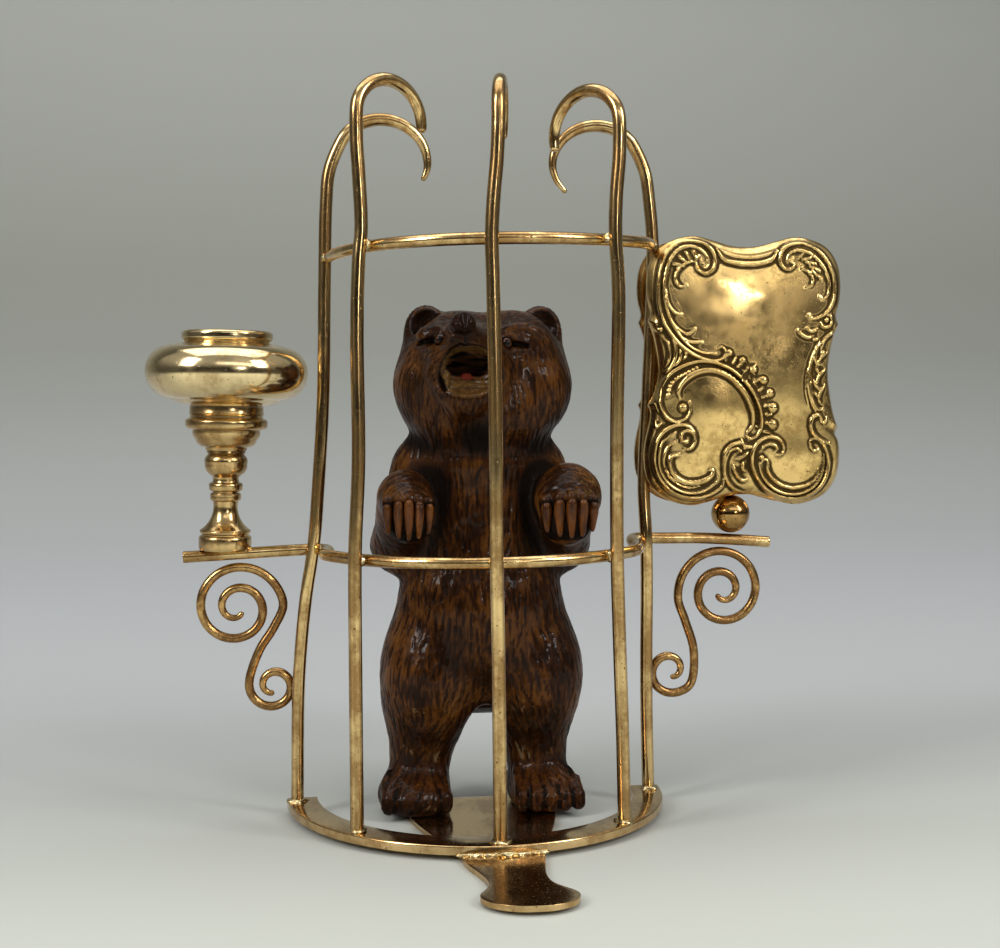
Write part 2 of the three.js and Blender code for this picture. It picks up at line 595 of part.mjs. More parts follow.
function ballField(p, c, r) {
  const q = [(p[0] - c[0]) / r[0], (p[1] - c[1]) / r[1], (p[2] - c[2]) / r[2]];
  const k0 = Math.hypot(...q);
  const k1 = Math.hypot(q[0] / r[0], q[1] / r[1], q[2] / r[2]);
  return k0 < 1e-6 ? -Math.min(...r) : (k0 * (k0 - 1)) / k1;
}
function limbField(p, a, ra, b, rb) {
  const ab = [b[0] - a[0], b[1] - a[1], b[2] - a[2]];
  const ap = [p[0] - a[0], p[1] - a[1], p[2] - a[2]];
  const len2 = ab[0] ** 2 + ab[1] ** 2 + ab[2] ** 2;
  const t = Math.min(1, Math.max(0, (ap[0] * ab[0] + ap[1] * ab[1] + ap[2] * ab[2]) / len2));
  return Math.hypot(ap[0] - ab[0] * t, ap[1] - ab[1] * t, ap[2] - ab[2] * t) - ra - (rb - ra) * t;
}
function melt(a, b, soft) {
  const h = Math.max(0, soft - Math.abs(a - b)) / soft;
  return Math.min(a, b) - (h * h * soft) / 4;
}
function bearField(p) {
  let d = 1e3;
  for (const m of masses) {
    if (m.kind === "ball") d = melt(d, ballField(p, m.c, m.r), m.soft);
    else if (m.kind === "limb") d = melt(d, limbField(p, m.a, m.ra, m.b, m.rb), m.soft);
    else d = -melt(-d, ballField(p, m.c, m.r), m.soft);
  }
  return d;
}

// The skin of a field as one closed mesh: one point in each grid cell that the skin crosses, one face for
// each grid edge that it crosses, and every point then moved onto the skin.
function skinOf(field, low, high, cell) {
  const n = low.map((v, i) => Math.ceil((high[i] - v) / cell) + 1);
  const at = (i, j, k) => (k * n[1] + j) * n[0] + i;
  const value = new Float64Array(n[0] * n[1] * n[2]);
  for (let k = 0; k < n[2]; k++) {
    for (let j = 0; j < n[1]; j++) {
      for (let i = 0; i < n[0]; i++) {
        value[at(i, j, k)] = field([low[0] + i * cell, low[1] + j * cell, low[2] + k * cell]);
      }
    }
  }
  const points = [];
  const pointOf = new Map();
  const corners = [0, 1, 2, 3, 4, 5, 6, 7].map((c) => [c & 1, (c >> 1) & 1, c >> 2]);
  for (let k = 0; k < n[2] - 1; k++) {
    for (let j = 0; j < n[1] - 1; j++) {
      for (let i = 0; i < n[0] - 1; i++) {
        const v = corners.map(([a, b, c]) => value[at(i + a, j + b, k + c)]);
        const sum = [0, 0, 0];
        let crossings = 0;
        for (let a = 0; a < 8; a++) {
          for (let bit = 1; bit < 8; bit <<= 1) {
            const b = a | bit;
            if (b === a || v[a] < 0 === v[b] < 0) continue;
            const t = v[a] / (v[a] - v[b]);
            crossings++;
            for (let x = 0; x < 3; x++) sum[x] += corners[a][x] + (corners[b][x] - corners[a][x]) * t;
          }
        }
        if (!crossings) continue;
        const p = [i, j, k].map((g, x) => low[x] + (g + sum[x] / crossings) * cell);
        for (let pass = 0; pass < 2; pass++) {
          const d = field(p);
          const e = 0.05;
          const g = [0, 1, 2].map((x) => {
            const q = [...p];
            q[x] += e;
            return (field(q) - d) / e;
          });
          const g2 = Math.max(0.3, g[0] ** 2 + g[1] ** 2 + g[2] ** 2);
          for (let x = 0; x < 3; x++) {
            p[x] -= Math.max(-cell / 3, Math.min(cell / 3, (g[x] * d) / g2));
          }
        }
        pointOf.set(at(i, j, k), points.length / 3);
        points.push(...p);
      }
    }
  }
  const index = [];
  for (let k = 1; k < n[2] - 1; k++) {
    for (let j = 1; j < n[1] - 1; j++) {
      for (let i = 1; i < n[0] - 1; i++) {
        for (let x = 0; x < 3; x++) {
          const step = [[1, 0, 0], [0, 1, 0], [0, 0, 1]][x];
          const a = value[at(i, j, k)] < 0;
          const b = value[at(i + step[0], j + step[1], k + step[2])] < 0;
          if (a === b) continue;
          const [u, w] = [[[0, 1, 0], [0, 0, 1]], [[0, 0, 1], [1, 0, 0]], [[1, 0, 0], [0, 1, 0]]][x];
          const quad = [[0, 0], [1, 0], [1, 1], [0, 1]].map(([s, t]) =>
            pointOf.get(at(i - s * u[0] - t * w[0], j - s * u[1] - t * w[1], k - s * u[2] - t * w[2])),
          );
          if (!a) quad.reverse();
          index.push(quad[0], quad[1], quad[2], quad[0], quad[2], quad[3]);
        }
      }
    }
  }
  const g = new THREE.BufferGeometry();
  g.setAttribute("position", new THREE.Float32BufferAttribute(points, 3));
  g.setIndex(index);
  return g;
}

const EYES = { eye_left: [-9.7, -16.3, 110.3], eye_right: [5.5, -14.9, 109.6] };
{
  const onPlate = (p) => Math.max(bearField(p), SOLE_Z - p[2]);
  const fine = skinOf(onPlate, [-29, -33, -2], [33, 25, 123], BEAR_CELL);
  let body = solid(await coarser(fine, BEAR_TRIANGLES));
  for (const at of Object.values(EYES)) {
    const socket = new THREE.SphereGeometry(EYE_RADIUS + 0.35, 8, 6);
    socket.translate(...at);
    body = body.subtract(solid(socket));
  }
  const wood = new THREE.MeshStandardMaterial({ color: 0x4a2a14, roughness: 0.32, metalness: 0 });
  add("bear", geometryOf(body), wood);
  for (const [name, at] of Object.entries(EYES)) {
    const eye = new THREE.SphereGeometry(EYE_RADIUS, 8, 6);
    eye.translate(...at);
    add(name, eye, new THREE.MeshStandardMaterial({ color: 0x8a3a10, roughness: 0.08, metalness: 0 }));
  }
}

export default group;
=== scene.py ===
"""Looks of a brass smoking stand: a carved walnut bear in a cage of hooked bars, with a turned cup on its
left arm and an embossed matchbox clip on its right arm. Shapes are worked out in millimetres and put into
the scene in metres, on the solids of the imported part. Left and right are the viewer's."""
import math
import random
from functools import partial

import bmesh
import bpy
import numpy as np
from mathutils import Matrix, Vector, kdtree, noise


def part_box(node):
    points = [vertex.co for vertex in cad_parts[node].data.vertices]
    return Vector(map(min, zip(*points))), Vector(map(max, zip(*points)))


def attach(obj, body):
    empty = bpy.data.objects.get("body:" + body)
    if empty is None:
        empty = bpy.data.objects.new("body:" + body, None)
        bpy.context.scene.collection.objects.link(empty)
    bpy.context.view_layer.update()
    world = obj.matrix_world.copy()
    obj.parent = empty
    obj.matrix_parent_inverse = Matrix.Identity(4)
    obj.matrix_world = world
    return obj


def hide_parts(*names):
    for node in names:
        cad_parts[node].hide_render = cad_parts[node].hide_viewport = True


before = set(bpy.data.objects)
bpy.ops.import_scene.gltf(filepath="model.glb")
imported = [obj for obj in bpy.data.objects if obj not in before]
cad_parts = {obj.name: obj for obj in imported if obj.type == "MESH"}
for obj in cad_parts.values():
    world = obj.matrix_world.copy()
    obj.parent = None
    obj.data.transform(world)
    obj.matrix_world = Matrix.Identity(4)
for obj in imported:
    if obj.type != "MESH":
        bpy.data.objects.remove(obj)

bl_info = {
    "name": "Carved bear smoking stand",
    "version": (1, 0, 0),
    "blender": (4, 5, 0),
    "location": "View3D > Sidebar > Bear stand",
    "description": "Builds the looks of a brass smoking stand with a carved bear",
    "category": "Object",
}

MM = 0.001
TAB = "Bear stand"


def box_mm(node):
    """Lowest and highest corner of a solid of the part, in millimetres."""
    low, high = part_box(node)
    return np.array(low) / MM, np.array(high) / MM


# Shader values


class Shade:
    """One output of a material's nodes, on which Python's arithmetic adds Math nodes."""

    def __init__(self, tree, socket=None):
        self.tree = tree
        self.socket = socket

    def node(self, kind, settings=None, inputs=None, out=0):
        """Adds a node with its settings, the values or links of its sockets, and the output to use."""
        made = self.tree.nodes.new(kind)
        for name, value in (settings or {}).items():
            if name == "stops":
                fill_ramp(made.color_ramp, value)
            else:
                setattr(made, name, value)
        for name, value in (inputs or {}).items():
            if isinstance(value, Shade):
                self.tree.links.new(value.socket, made.inputs[name])
            else:
                made.inputs[name].default_value = value
        return Shade(self.tree, made.outputs[out])

    def math(self, operation, *values):
        made = dict(enumerate(values))
        return self.node("ShaderNodeMath", {"operation": operation}, made)

    def __add__(self, other):
        return self.math("ADD", self, other)

    def __radd__(self, other):
        return self.math("ADD", other, self)

    def __sub__(self, other):
        return self.math("SUBTRACT", self, other)

    def __rsub__(self, other):
        return self.math("SUBTRACT", other, self)

    def __mul__(self, other):
        return self.math("MULTIPLY", self, other)

    def __rmul__(self, other):
        return self.math("MULTIPLY", other, self)

    def clipped(self):
        """The value held between 0 and 1."""
        return self.node("ShaderNodeClamp", None, {"Value": self})

    def between(self, low, high):
        """0 below low, 1 above high, and smooth in between."""
        settings = {"interpolation_type": "SMOOTHSTEP"}
        return self.node("ShaderNodeMapRange", settings, {"Value": self, "From Min": low, "From Max": high})

    def blend(self, first, second):
        """The first colour where the value is 0, the second where it is 1."""
        inputs = {0: self, 6: first, 7: second}
        return self.node("ShaderNodeMix", {"data_type": "RGBA", "clamp_factor": True}, inputs, 2)


def fill_ramp(ramp, stops):
    while len(ramp.elements) < len(stops):
        ramp.elements.new(1)
    for element, (place, colour) in zip(ramp.elements, stops):
        element.position = place
        element.color = colour


def rgb(red, green, blue):
    return (red, green, blue, 1)


def start_material(name):
    """An empty material: the material, its tree as a Shade, and the place in millimetres as a Shade."""
    material = bpy.data.materials.new(name)
    material.use_nodes = True
    material.node_tree.nodes.clear()
    shade = Shade(material.node_tree)
    place = shade.node("ShaderNodeTexCoord", None, None, "Object")
    millimetres = shade.node(
        "ShaderNodeVectorMath", {"operation": "SCALE"}, {0: place, "Scale": 1 / MM}
    )
    return material, shade, millimetres


def finish_material(material, shade, **inputs):
    """Puts the values on a Principled shader. An underscore stands for a space in a socket's name."""
    named = {name.replace("_", " "): value for name, value in inputs.items()}
    surface = shade.node("ShaderNodeBsdfPrincipled", None, named)
    link_output(shade, surface)
    return material


def link_output(shade, surface, kind="ShaderNodeOutputMaterial"):
    made = shade.tree.nodes.new(kind)
    shade.tree.links.new(surface.socket, made.inputs["Surface"])


def axes_of(shade, where):
    """The x, y and z of a place."""
    parts = shade.node("ShaderNodeSeparateXYZ", None, {0: where}).socket.node
    return [Shade(shade.tree, output) for output in parts.outputs]


def speckle(shade, where, scale, detail=3, rough=0.6, stretch=None):
    """Noise, with its scale in waves per millimetre and a stretch for each axis."""
    if stretch:
        where = shade.node(
            "ShaderNodeVectorMath", {"operation": "MULTIPLY"}, {0: where, 1: stretch}
        )
    inputs = {"Vector": where, "Scale": scale, "Detail": detail, "Roughness": rough}
    return shade.node("ShaderNodeTexNoise", None, inputs, "Fac")


def bump(shade, height, depth, strength=1.0, normal=None):
    """A Bump node whose height of 1 stands for the given depth in millimetres."""
    inputs = {"Height": height, "Distance": depth * MM, "Strength": strength}
    if normal is not None:
        inputs["Normal"] = normal
    return shade.node("ShaderNodeBump", None, inputs)


def attribute(shade, name):
    return shade.node("ShaderNodeAttribute", {"attribute_name": name}, None, "Fac")


# Finishes


def brass_finish(name, clean, brown, amount, roughness, grain, carved=False):
    """Polished brass with brown tarnish, pits and fine rubbing. carved adds the dark of the grooves."""
    material, shade, place = start_material(name)
    cloud = speckle(shade, place, 0.09, 4, 0.62)
    fleck = speckle(shade, place, 0.9, 3, 0.7)
    streak = speckle(shade, place, 0.45, 3, 0.6, grain)
    spread = 0.3 * amount
    tarnish = (cloud * 0.55 + fleck * 0.2 + streak * 0.25).between(0.62 - spread, 0.8 - spread) * amount
    pits = speckle(shade, place, 1.9, 1, 0.5).between(0.69, 0.76)
    colour = tarnish.blend(rgb(*clean), rgb(*brown))
    colour = (pits * 0.8).blend(colour, rgb(brown[0] * 0.2, brown[1] * 0.18, brown[2] * 0.16))
    rough = roughness + tarnish * 0.14 + pits * 0.3 + (streak - 0.5) * 0.1
    if carved:
        dirt = (attribute(shade, "groove") + (fleck - 0.5) * 0.3).between(0.1, 0.6)
        colour = (dirt * 0.95).blend(colour, rgb(0.03, 0.016, 0.004))
        rough = rough + dirt * 0.3
    height = streak * 0.7 + cloud * 0.8 - pits * 0.5
    normal = bump(shade, height, 0.03, 0.5)
    if carved:
        normal = bump(shade, speckle(shade, place, 0.13, 1, 0.5), 0.16, 0.5, normal)
    return finish_material(
        material, shade, Base_Color=colour, Metallic=1.0, Roughness=rough.clipped(), Normal=normal
    )


def walnut_finish(look):
    """Dark varnished walnut: amber where the varnish is thin, nearly black in the cuts, partly dark stain and
    partly painted shade, and painted shade in the recesses.
    """
    material, shade, place = start_material("walnut_varnish")
    marks = ("groove", "hollow", "claw", "mouth", "deep", "tongue", "nose")
    groove, hollow, claw, mouth, deep, tongue, nose = (attribute(shade, mark) for mark in marks)
    cloud = speckle(shade, place, 0.075, 4, 0.6)
    hair = speckle(shade, place, 1.6, 4, 0.65, (1, 1, 0.12))
    fleck = speckle(shade, place, 0.75, 4, 0.6, (1, 1, 0.28))
    warm = (cloud * 0.55 + fleck * 0.22 + hair * 0.43 - groove * 0.25).between(0.46, 0.74)
    colour = warm.blend(rgb(*look.wood_dark), rgb(*look.wood_mid))
    # Less amber in the carved strokes and in the painted shade
    amber = (fleck * 0.2 + cloud * 0.75 + hair * 0.4 - groove * 0.6 - hollow * 0.6).between(0.6, 0.86)
    colour = (amber * 0.6).blend(colour, rgb(*look.wood_amber))
    # Near black in the carved strokes, partly dark stain and partly painted shade, and painted shade in the
    # recesses
    dark = (groove * 0.7 + hollow * 1.15 + (fleck - 0.5) * 0.3).between(0.08, 0.9)
    colour = (dark * 0.95).blend(colour, rgb(0.004, 0.0022, 0.0014))
    claws = fleck.between(0.3, 0.7).blend(rgb(0.03, 0.008, 0.0015), rgb(0.13, 0.04, 0.006))
    colour = (claw * (1 - hollow * 0.95)).blend(colour, claws)
    ochre = speckle(shade, place, 0.9, 4, 0.7).between(0.35, 0.7)
    ochre = ochre.blend(rgb(0.04, 0.018, 0.004), rgb(0.11, 0.056, 0.014))
    # Ochre paint inside the mouth, giving way to the painted shade
    colour = (mouth * (1 - hollow * 0.6) * (1 - groove)).blend(colour, ochre)
    # Roof of the mouth, deep inside: ridges drawn as lines, and its near black partly its own dark stain and
    # partly painted shade
    lines = speckle(shade, place, 0.9, 2, 0.5, (0.15, 0.15, 1.6)).between(0.45, 0.6)
    roof = lines.blend(rgb(0.003, 0.002, 0.0015), rgb(0.07, 0.028, 0.01))
    colour = deep.blend(colour, roof)
    colour = (tongue * 0.9).blend(colour, rgb(0.085, 0.01, 0.005))
    colour = nose.blend(colour, rgb(0.011, 0.0033, 0.0012))
    rough = 0.34 + dark * 0.25 + (hair - 0.5) * 0.3 + mouth * 0.15 - nose * 0.1
    normal = bump(shade, hair * 1.0 + fleck * 0.5, 0.16, 0.9)
    coat = look.varnish * (1 - dark * 0.85) * (1 - deep) * (1 - nose * 0.7) + claw * 0.3
    return finish_material(
        material, shade, Base_Color=colour, Roughness=rough.clipped(), Normal=normal,
        Coat_Weight=coat.clipped(), Coat_Roughness=0.08, Coat_IOR=1.4, Specular_IOR_Level=0.045,
    )


def eye_finish():
    """Orange-brown glass over a black pupil."""
    material, shade, place = start_material("eye_brown_glass")
    from_front = attribute(shade, "from_front")
    ring = from_front.between(0.5, 0.62)
    rim = from_front.between(0.75, 0.95)
    iris = speckle(shade, place, 2.5, 2, 0.5).between(0.3, 0.7)
    iris = iris.blend(rgb(0.025, 0.006, 0.0015), rgb(0.09, 0.022, 0.004))
    colour = ring.blend(rgb(0.004, 0.003, 0.003), iris)
    colour = rim.blend(colour, rgb(0.008, 0.003, 0.002))
    return finish_material(
        material, shade, Base_Color=colour, Roughness=0.08, Coat_Weight=0.12, Coat_Roughness=0.03,
        Specular_IOR_Level=0.12,
    )


def solder_finish():
    """Pale yellow solder, duller than the brass."""
    material, shade, place = start_material("solder")
    mottle = speckle(shade, place, 1.1, 3, 0.6).between(0.35, 0.68)
    colour = mottle.blend(rgb(0.72, 0.60, 0.34), rgb(0.34, 0.25, 0.12))
    normal = bump(shade, speckle(shade, place, 1.8, 3, 0.6), 0.12, 0.7)
    return finish_material(
        material, shade, Base_Color=colour, Metallic=1.0, Roughness=0.2 + mottle * 0.22, Normal=normal
    )


def finishes(scene):
    """Makers of the finishes, by the start of the names of the pieces that wear them."""
    wires, cup, clip = scene.stand_wires, scene.stand_cup, scene.stand_clip
    even, up, across = (1, 1, 1), (1, 1, 0.13), (1, 0.25, 1)
    brown = (0.24, 0.12, 0.04)
    brass = {
        "cage": ("brass_drawn", wires.clean, wires.brown, 0.75, 0.13, up),
        "bracket": ("brass_scrolls", (0.55, 0.34, 0.13), (0.16, 0.07, 0.022), 0.8, 0.17, even),
        "base": ("brass_sheet", (0.66, 0.46, 0.22), wires.brown, 0.65, 0.14, across),
        "cup_bowl": ("brass_turned", cup.clean, (0.3, 0.17, 0.06), 0.55, 0.14, up),
        "cup_stem": ("brass_stem", (0.6, 0.42, 0.19), (0.22, 0.105, 0.03), 0.65, 0.17, up),
        "clip_front": ("brass_embossed", clip.clean, (0.3, 0.18, 0.045), 0.6, 0.17, even, True),
        "clip_back": ("brass_inner", (0.6, 0.4, 0.16), brown, 0.6, 0.2, even, True),
        "clip_round": ("brass_ball", (0.42, 0.25, 0.085), (0.12, 0.05, 0.014), 0.55, 0.12, even),
        "clip_strip": ("brass_strip", (0.6, 0.4, 0.16), brown, 0.6, 0.2, even),
    }
    makers = {piece: partial(brass_finish, *look) for piece, look in brass.items()}
    carved = partial(walnut_finish, scene.stand_bear)
    return makers | {"solder": solder_finish, "carved": carved, "glass": eye_finish}


# Pieces


def new_object(name, bm, scale=MM):
    """Turns a bmesh into an object, its place in its mesh."""
    bmesh.ops.scale(bm, vec=(scale, scale, scale), verts=bm.verts)
    mesh = bpy.data.meshes.new(name)
    bm.to_mesh(mesh)
    bm.free()
    obj = bpy.data.objects.new(name, mesh)
    bpy.context.scene.collection.objects.link(obj)
    return obj


def dress(obj, material, nodes=(), crease=35):
    """Gives a piece its finish, smooths it up to its creases, and puts it on the stand for its solids."""
    obj.data.materials.append(material)
    obj.data.shade_smooth()
    obj.data.set_sharp_from_angle(angle=math.radians(crease))
    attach(obj, "root")
    if nodes:
        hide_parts(*nodes)
    return obj


def values_of(mesh, name, values):
    """Stores one number for each point of a mesh, for its material."""
    made = mesh.attributes.new(name, "FLOAT", "POINT")
    made.data.foreach_set("value", np.asarray(values, np.float32))


def points_of(mesh):
    out = np.empty(len(mesh.vertices) * 3)
    mesh.vertices.foreach_get("co", out)
    return out.reshape(-1, 3)


def ramp(low, high, value):
    """0 below low, 1 above high, and smooth in between."""
    t = np.clip((value - low) / (high - low), 0, 1)
    return t * t * (3 - 2 * t)


# Round wires

# How far each bar's hooked end is rounded, as a share of its radius
BAR_TIPS = {
    "bar_left_back": 0.95, "bar_left_front": 0.7, "bar_centre": 0.95, "bar_right_front": 0.7,
    "bar_right_back": 0.95,
}


def cad_rings(node):
    """Middles and radii of a wire's rings, in millimetres, from one cut end of its solid to the other."""
    bm = bmesh.new()
    bm.from_mesh(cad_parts[node].data)
    bmesh.ops.remove_doubles(bm, verts=bm.verts, dist=1e-6)

    def spread(start):
        rings, seen = [start], set(start)
        while rings[-1]:
            near = {e.other_vert(v) for v in rings[-1] for e in v.link_edges} - seen
            rings.append(near)
            seen |= near
        return rings[:-1]

    bm.verts.ensure_lookup_table()
    tip = next(iter(spread({bm.verts[0]})[-1]))
    for face in tip.link_faces:
        group, queue = {face}, [face]
        while queue:
            for edge in queue.pop().edges:
                for other in edge.link_faces:
                    if other not in group and other.normal.dot(face.normal) > 0.9999:
                        group.add(other)
                        queue.append(other)
        end = {v for f in group for v in f.verts}
        middle = sum((v.co for v in end), Vector()) / len(end)
        reach = [(v.co - middle).length for v in end]
        if len(end) > 4 and len(group) == len(end) - 2 and max(reach) < 1.02 * min(reach):
            break
    else:
        raise RuntimeError(f"no cut end was found on {node}")
    rings = spread(end)
    if any(len(ring) != len(end) for ring in rings):
        raise RuntimeError(f"the rings of {node} are not alike")
    middles = [sum((v.co for v in ring), Vector()) / len(ring) / MM for ring in rings]
    radii = [sum((v.co / MM - m).length for v in ring) / len(ring) for ring, m in zip(rings, middles)]
    bm.free()
    return np.array(middles), np.array(radii)


def splined(points, step, extra=None):
    """A centripetal spline through the points, at about the given step. extra values go along with it."""
    points = np.asarray(points, float)
    padded = np.vstack([2 * points[0] - points[1], points, 2 * points[-1] - points[-2]])
    knots = np.concatenate([[0], np.cumsum(np.linalg.norm(np.diff(padded, axis=0), axis=1) ** 0.5)])
    out, along = [], []
    for i in range(1, len(padded) - 2):
        count = max(1, round(np.linalg.norm(padded[i + 1] - padded[i]) / step))
        p, k = padded[i - 1 : i + 3], knots[i - 1 : i + 3]
        for u in np.arange(count) / count:
            t = k[1] + (k[2] - k[1]) * u
            a = [((k[j + 1] - t) * p[j] + (t - k[j]) * p[j + 1]) / (k[j + 1] - k[j]) for j in range(3)]
            b = [((k[j + 2] - t) * a[j] + (t - k[j]) * a[j + 1]) / (k[j + 2] - k[j]) for j in range(2)]
            out.append(((k[2] - t) * b[0] + (t - k[1]) * b[1]) / (k[2] - k[1]))
            along.append(i - 1 + u)
    out.append(points[-1])
    along.append(len(points) - 1)
    if extra is None:
        return np.array(out)
    return np.array(out), np.interp(along, np.arange(len(points)), extra)


def swept(bm, points, radii, sides, round_start=0.1, round_end=0.1):
    """A round wire along the points. An end is rounded over the given share of its radius."""
    points = [Vector(p) for p in points]
    radii = list(radii)
    for end, share in ((0, round_start), (-1, round_end)):
        inner = points[1] if end == 0 else points[-2]
        away = (points[end] - inner).normalized()
        tip, radius = points[end].copy(), radii[end]
        base = tip - away * share * radius
        caps = []
        for turn in (20, 40, 60, 78):
            a = math.radians(turn)
            thin = radius * (1 - share * (1 - math.cos(a)))
            caps.append((base + away * share * radius * math.sin(a), thin))
        if end == 0:
            points[:1] = [p for p, _ in reversed(caps)] + [base]
            radii[:1] = [r for _, r in reversed(caps)] + [radius]
        else:
            points[-1:] = [base] + [p for p, _ in caps]
            radii[-1:] = [radius] + [r for _, r in caps]
    side = None
    last = None
    for k, (point, radius) in enumerate(zip(points, radii)):
        along = (points[min(k + 1, len(points) - 1)] - points[max(k - 1, 0)]).normalized()
        if side is None:
            side = along.orthogonal()
        side = (side - along * side.dot(along)).normalized()
        axes = (side * radius, along.cross(side) * radius, along, point)
        place = Matrix([[axis[i] for axis in axes] for i in range(3)] + [[0, 0, 0, 1]])
        if last is None:
            made = bmesh.ops.create_circle(bm, segments=sides, radius=1, matrix=place)
            ring = set(made["verts"])
            edges = list({e for v in ring for e in v.link_edges})
            first_edges = edges
        else:
            made = bmesh.ops.extrude_edge_only(bm, edges=edges)["geom"]
            ring = {v for v in made if isinstance(v, bmesh.types.BMVert)}
            edges = [e for e in made if isinstance(e, bmesh.types.BMEdge) and all(v in ring for v in e.verts)]
            bmesh.ops.transform(bm, matrix=place @ last.inverted(), verts=list(ring))
        last = place
    bmesh.ops.contextual_create(bm, geom=first_edges)
    bmesh.ops.contextual_create(bm, geom=edges)


def wire_piece(name, node, material, step, sides, ends):
    """A wire swept along the middle line of its solid, from its lower end to its upper one."""
    middles, radii = cad_rings(node)
    if middles[0][2] > middles[-1][2]:
        middles, radii = middles[::-1], radii[::-1]
    points, radii = splined(middles, step, radii)
    bm = bmesh.new()
    swept(bm, points, radii, sides, *ends)
    bmesh.ops.recalc_face_normals(bm, faces=bm.faces)
    return dress(new_object(name, bm), material, (node,), 50)


# Turned pieces


def arcs(profile, step=0.35):
    """Radius and height along a turned outline. Each point has the bulge of the line to it: the arc's height
    as a share of its chord, positive where it swells outwards on the way up."""
    out = [np.array(profile[0][:2], float)]
    for r, h, bulge in profile[1:]:
        start, end = out[-1], np.array([r, h], float)
        chord = end - start
        length = np.linalg.norm(chord)
        if not bulge:
            out.append(end)
            continue
        count = max(1, round(length / step))
        side = np.array([chord[1], -chord[0]])
        half = 2 * math.atan(2 * abs(bulge))
        radius = length / (2 * math.sin(half))
        centre = (start + end) / 2 - side / length * math.copysign(radius * math.cos(half), bulge)
        a0 = math.atan2(*(start - centre)[::-1])
        for i in range(1, count + 1):
            a = a0 + math.copysign(2 * half * i / count, bulge)
            out.append(centre + radius * np.array([math.cos(a), math.sin(a)]))
    return out


def turned(bm, outline, steps):
    """Spins an outline of radii and heights round the z axis."""
    verts = [bm.verts.new((r, 0, h)) for r, h in outline]
    edges = [bm.edges.new(pair) for pair in zip(verts, verts[1:])]
    bmesh.ops.spin(
        bm, geom=verts + edges, cent=(0, 0, 0), axis=(0, 0, 1), angle=2 * math.pi, steps=steps, use_merge=True
    )
    bmesh.ops.remove_doubles(bm, verts=bm.verts, dist=1e-4)
    bmesh.ops.recalc_face_normals(bm, faces=bm.faces)


STEM_X = -58.4
STEM_FOOT = box_mm("holder_stem")[0][2]
STEM_LEAN = math.radians(1.25)
ARM_Y = -2.1


def stand_on_arm(bm):
    """Moves a turned piece to its place on the left arm, with the stem's slight lean."""
    place = Matrix.Translation((STEM_X, ARM_Y, STEM_FOOT)) @ Matrix.Rotation(STEM_LEAN, 4, "Y")
    bmesh.ops.transform(bm, matrix=place, verts=bm.verts)


# Radius, height above the arm and bulge of each point
STEM_OUTLINE = [
    (0, 0, 0), (5.7, 0, 0), (6.0, 0.4, 0.2), (6.0, 3.0, 0.03), (5.75, 3.35, 0.2), (5.35, 3.5, 0),
    (5.35, 3.75, 0), (5.75, 4.0, 0.25), (5.7, 4.75, 0.2), (5.15, 5.1, 0), (2.85, 11.0, -0.13),
    (2.85, 11.3, 0), (3.5, 12.4, 0.28), (2.95, 13.3, 0.3), (2.95, 13.6, -0.2), (3.8, 14.6, 0.3),
    (3.1, 15.7, 0.3), (3.0, 16.9, -0.08), (3.5, 17.35, 0.1), (4.85, 19.9, 0.16), (4.35, 21.9, 0.14),
    (4.1, 22.15, 0), (4.45, 22.5, 0.3), (4.4, 23.0, 0.3), (4.75, 23.4, 0.3), (4.8, 23.75, 0.2),
    (7.1, 25.5, 0.17), (7.75, 27.3, 0.1), (7.75, 27.7, 0), (8.3, 27.95, -0.15), (9.35, 29.2, 0.3),
    (8.7, 30.35, 0.25), (8.35, 30.6, 0), (8.35, 31.1, 0), (8.6, 31.35, 0.3), (8.4, 31.7, 0.3),
    (8.4, 33.12, 0), (0, 33.12, 0),
]
BOWL_OUTLINE = [
    (0, 33.2, 0), (8.1, 33.2, 0), (13.0, 34.75, 0.06), (18.5, 41.1, 0.2), (13.4, 46.9, 0.19),
    (10.3, 47.5, 0.05), (9.75, 47.75, -0.25), (9.95, 48.2, -0.2), (10.35, 49.2, 0.28),
    (9.7, 50.4, 0.25), (9.1, 50.45, 0.1), (8.65, 49.9, 0.3), (8.6, 47.7, 0), (12.4, 45.9, -0.05),
    (17.3, 41.1, -0.2), (12.6, 35.9, -0.2), (8, 34.4, -0.06), (0, 34.4, 0),
]


# Base


PLATE_THICKNESS = 1.2
PLATE_COLUMNS = 15
PLATE_EDGE = 0.26


def plate_middle(t):
    """Middle of the foot plate's width, t in front of the ring's centre: the tongue bends to the right."""
    return 0.2 + 1.75 * max(0, (t - 50) / 28)


def plate_half_width(t):
    """Half the foot plate's width: the round-ended tongue, its waist, and the bell under the bear."""
    past = t - 71
    if past > 0:
        return 9.7 * math.sqrt(max(0, 1 - (past / 7.6) ** 2))
    flare = (t - 60.5) / 10.5
    if flare > 0:
        return 6.2 + 3.5 * math.sin(flare * math.pi / 2) ** 3
    neck = (60.5 - t) / 16.5
    if neck < 1:
        return 6.2 + 2.6 * neck * neck * (3 - 2 * neck)
    return 8.8 + 9.6 * math.sin(((44 - t) / 46) * (math.pi / 2)) ** 1.1


def plate_lift(t):
    """Height of the plate's underside: the tongue rises a little towards its tip."""
    return 0.9 * max(0, (t - 46) / 32.6) ** 2


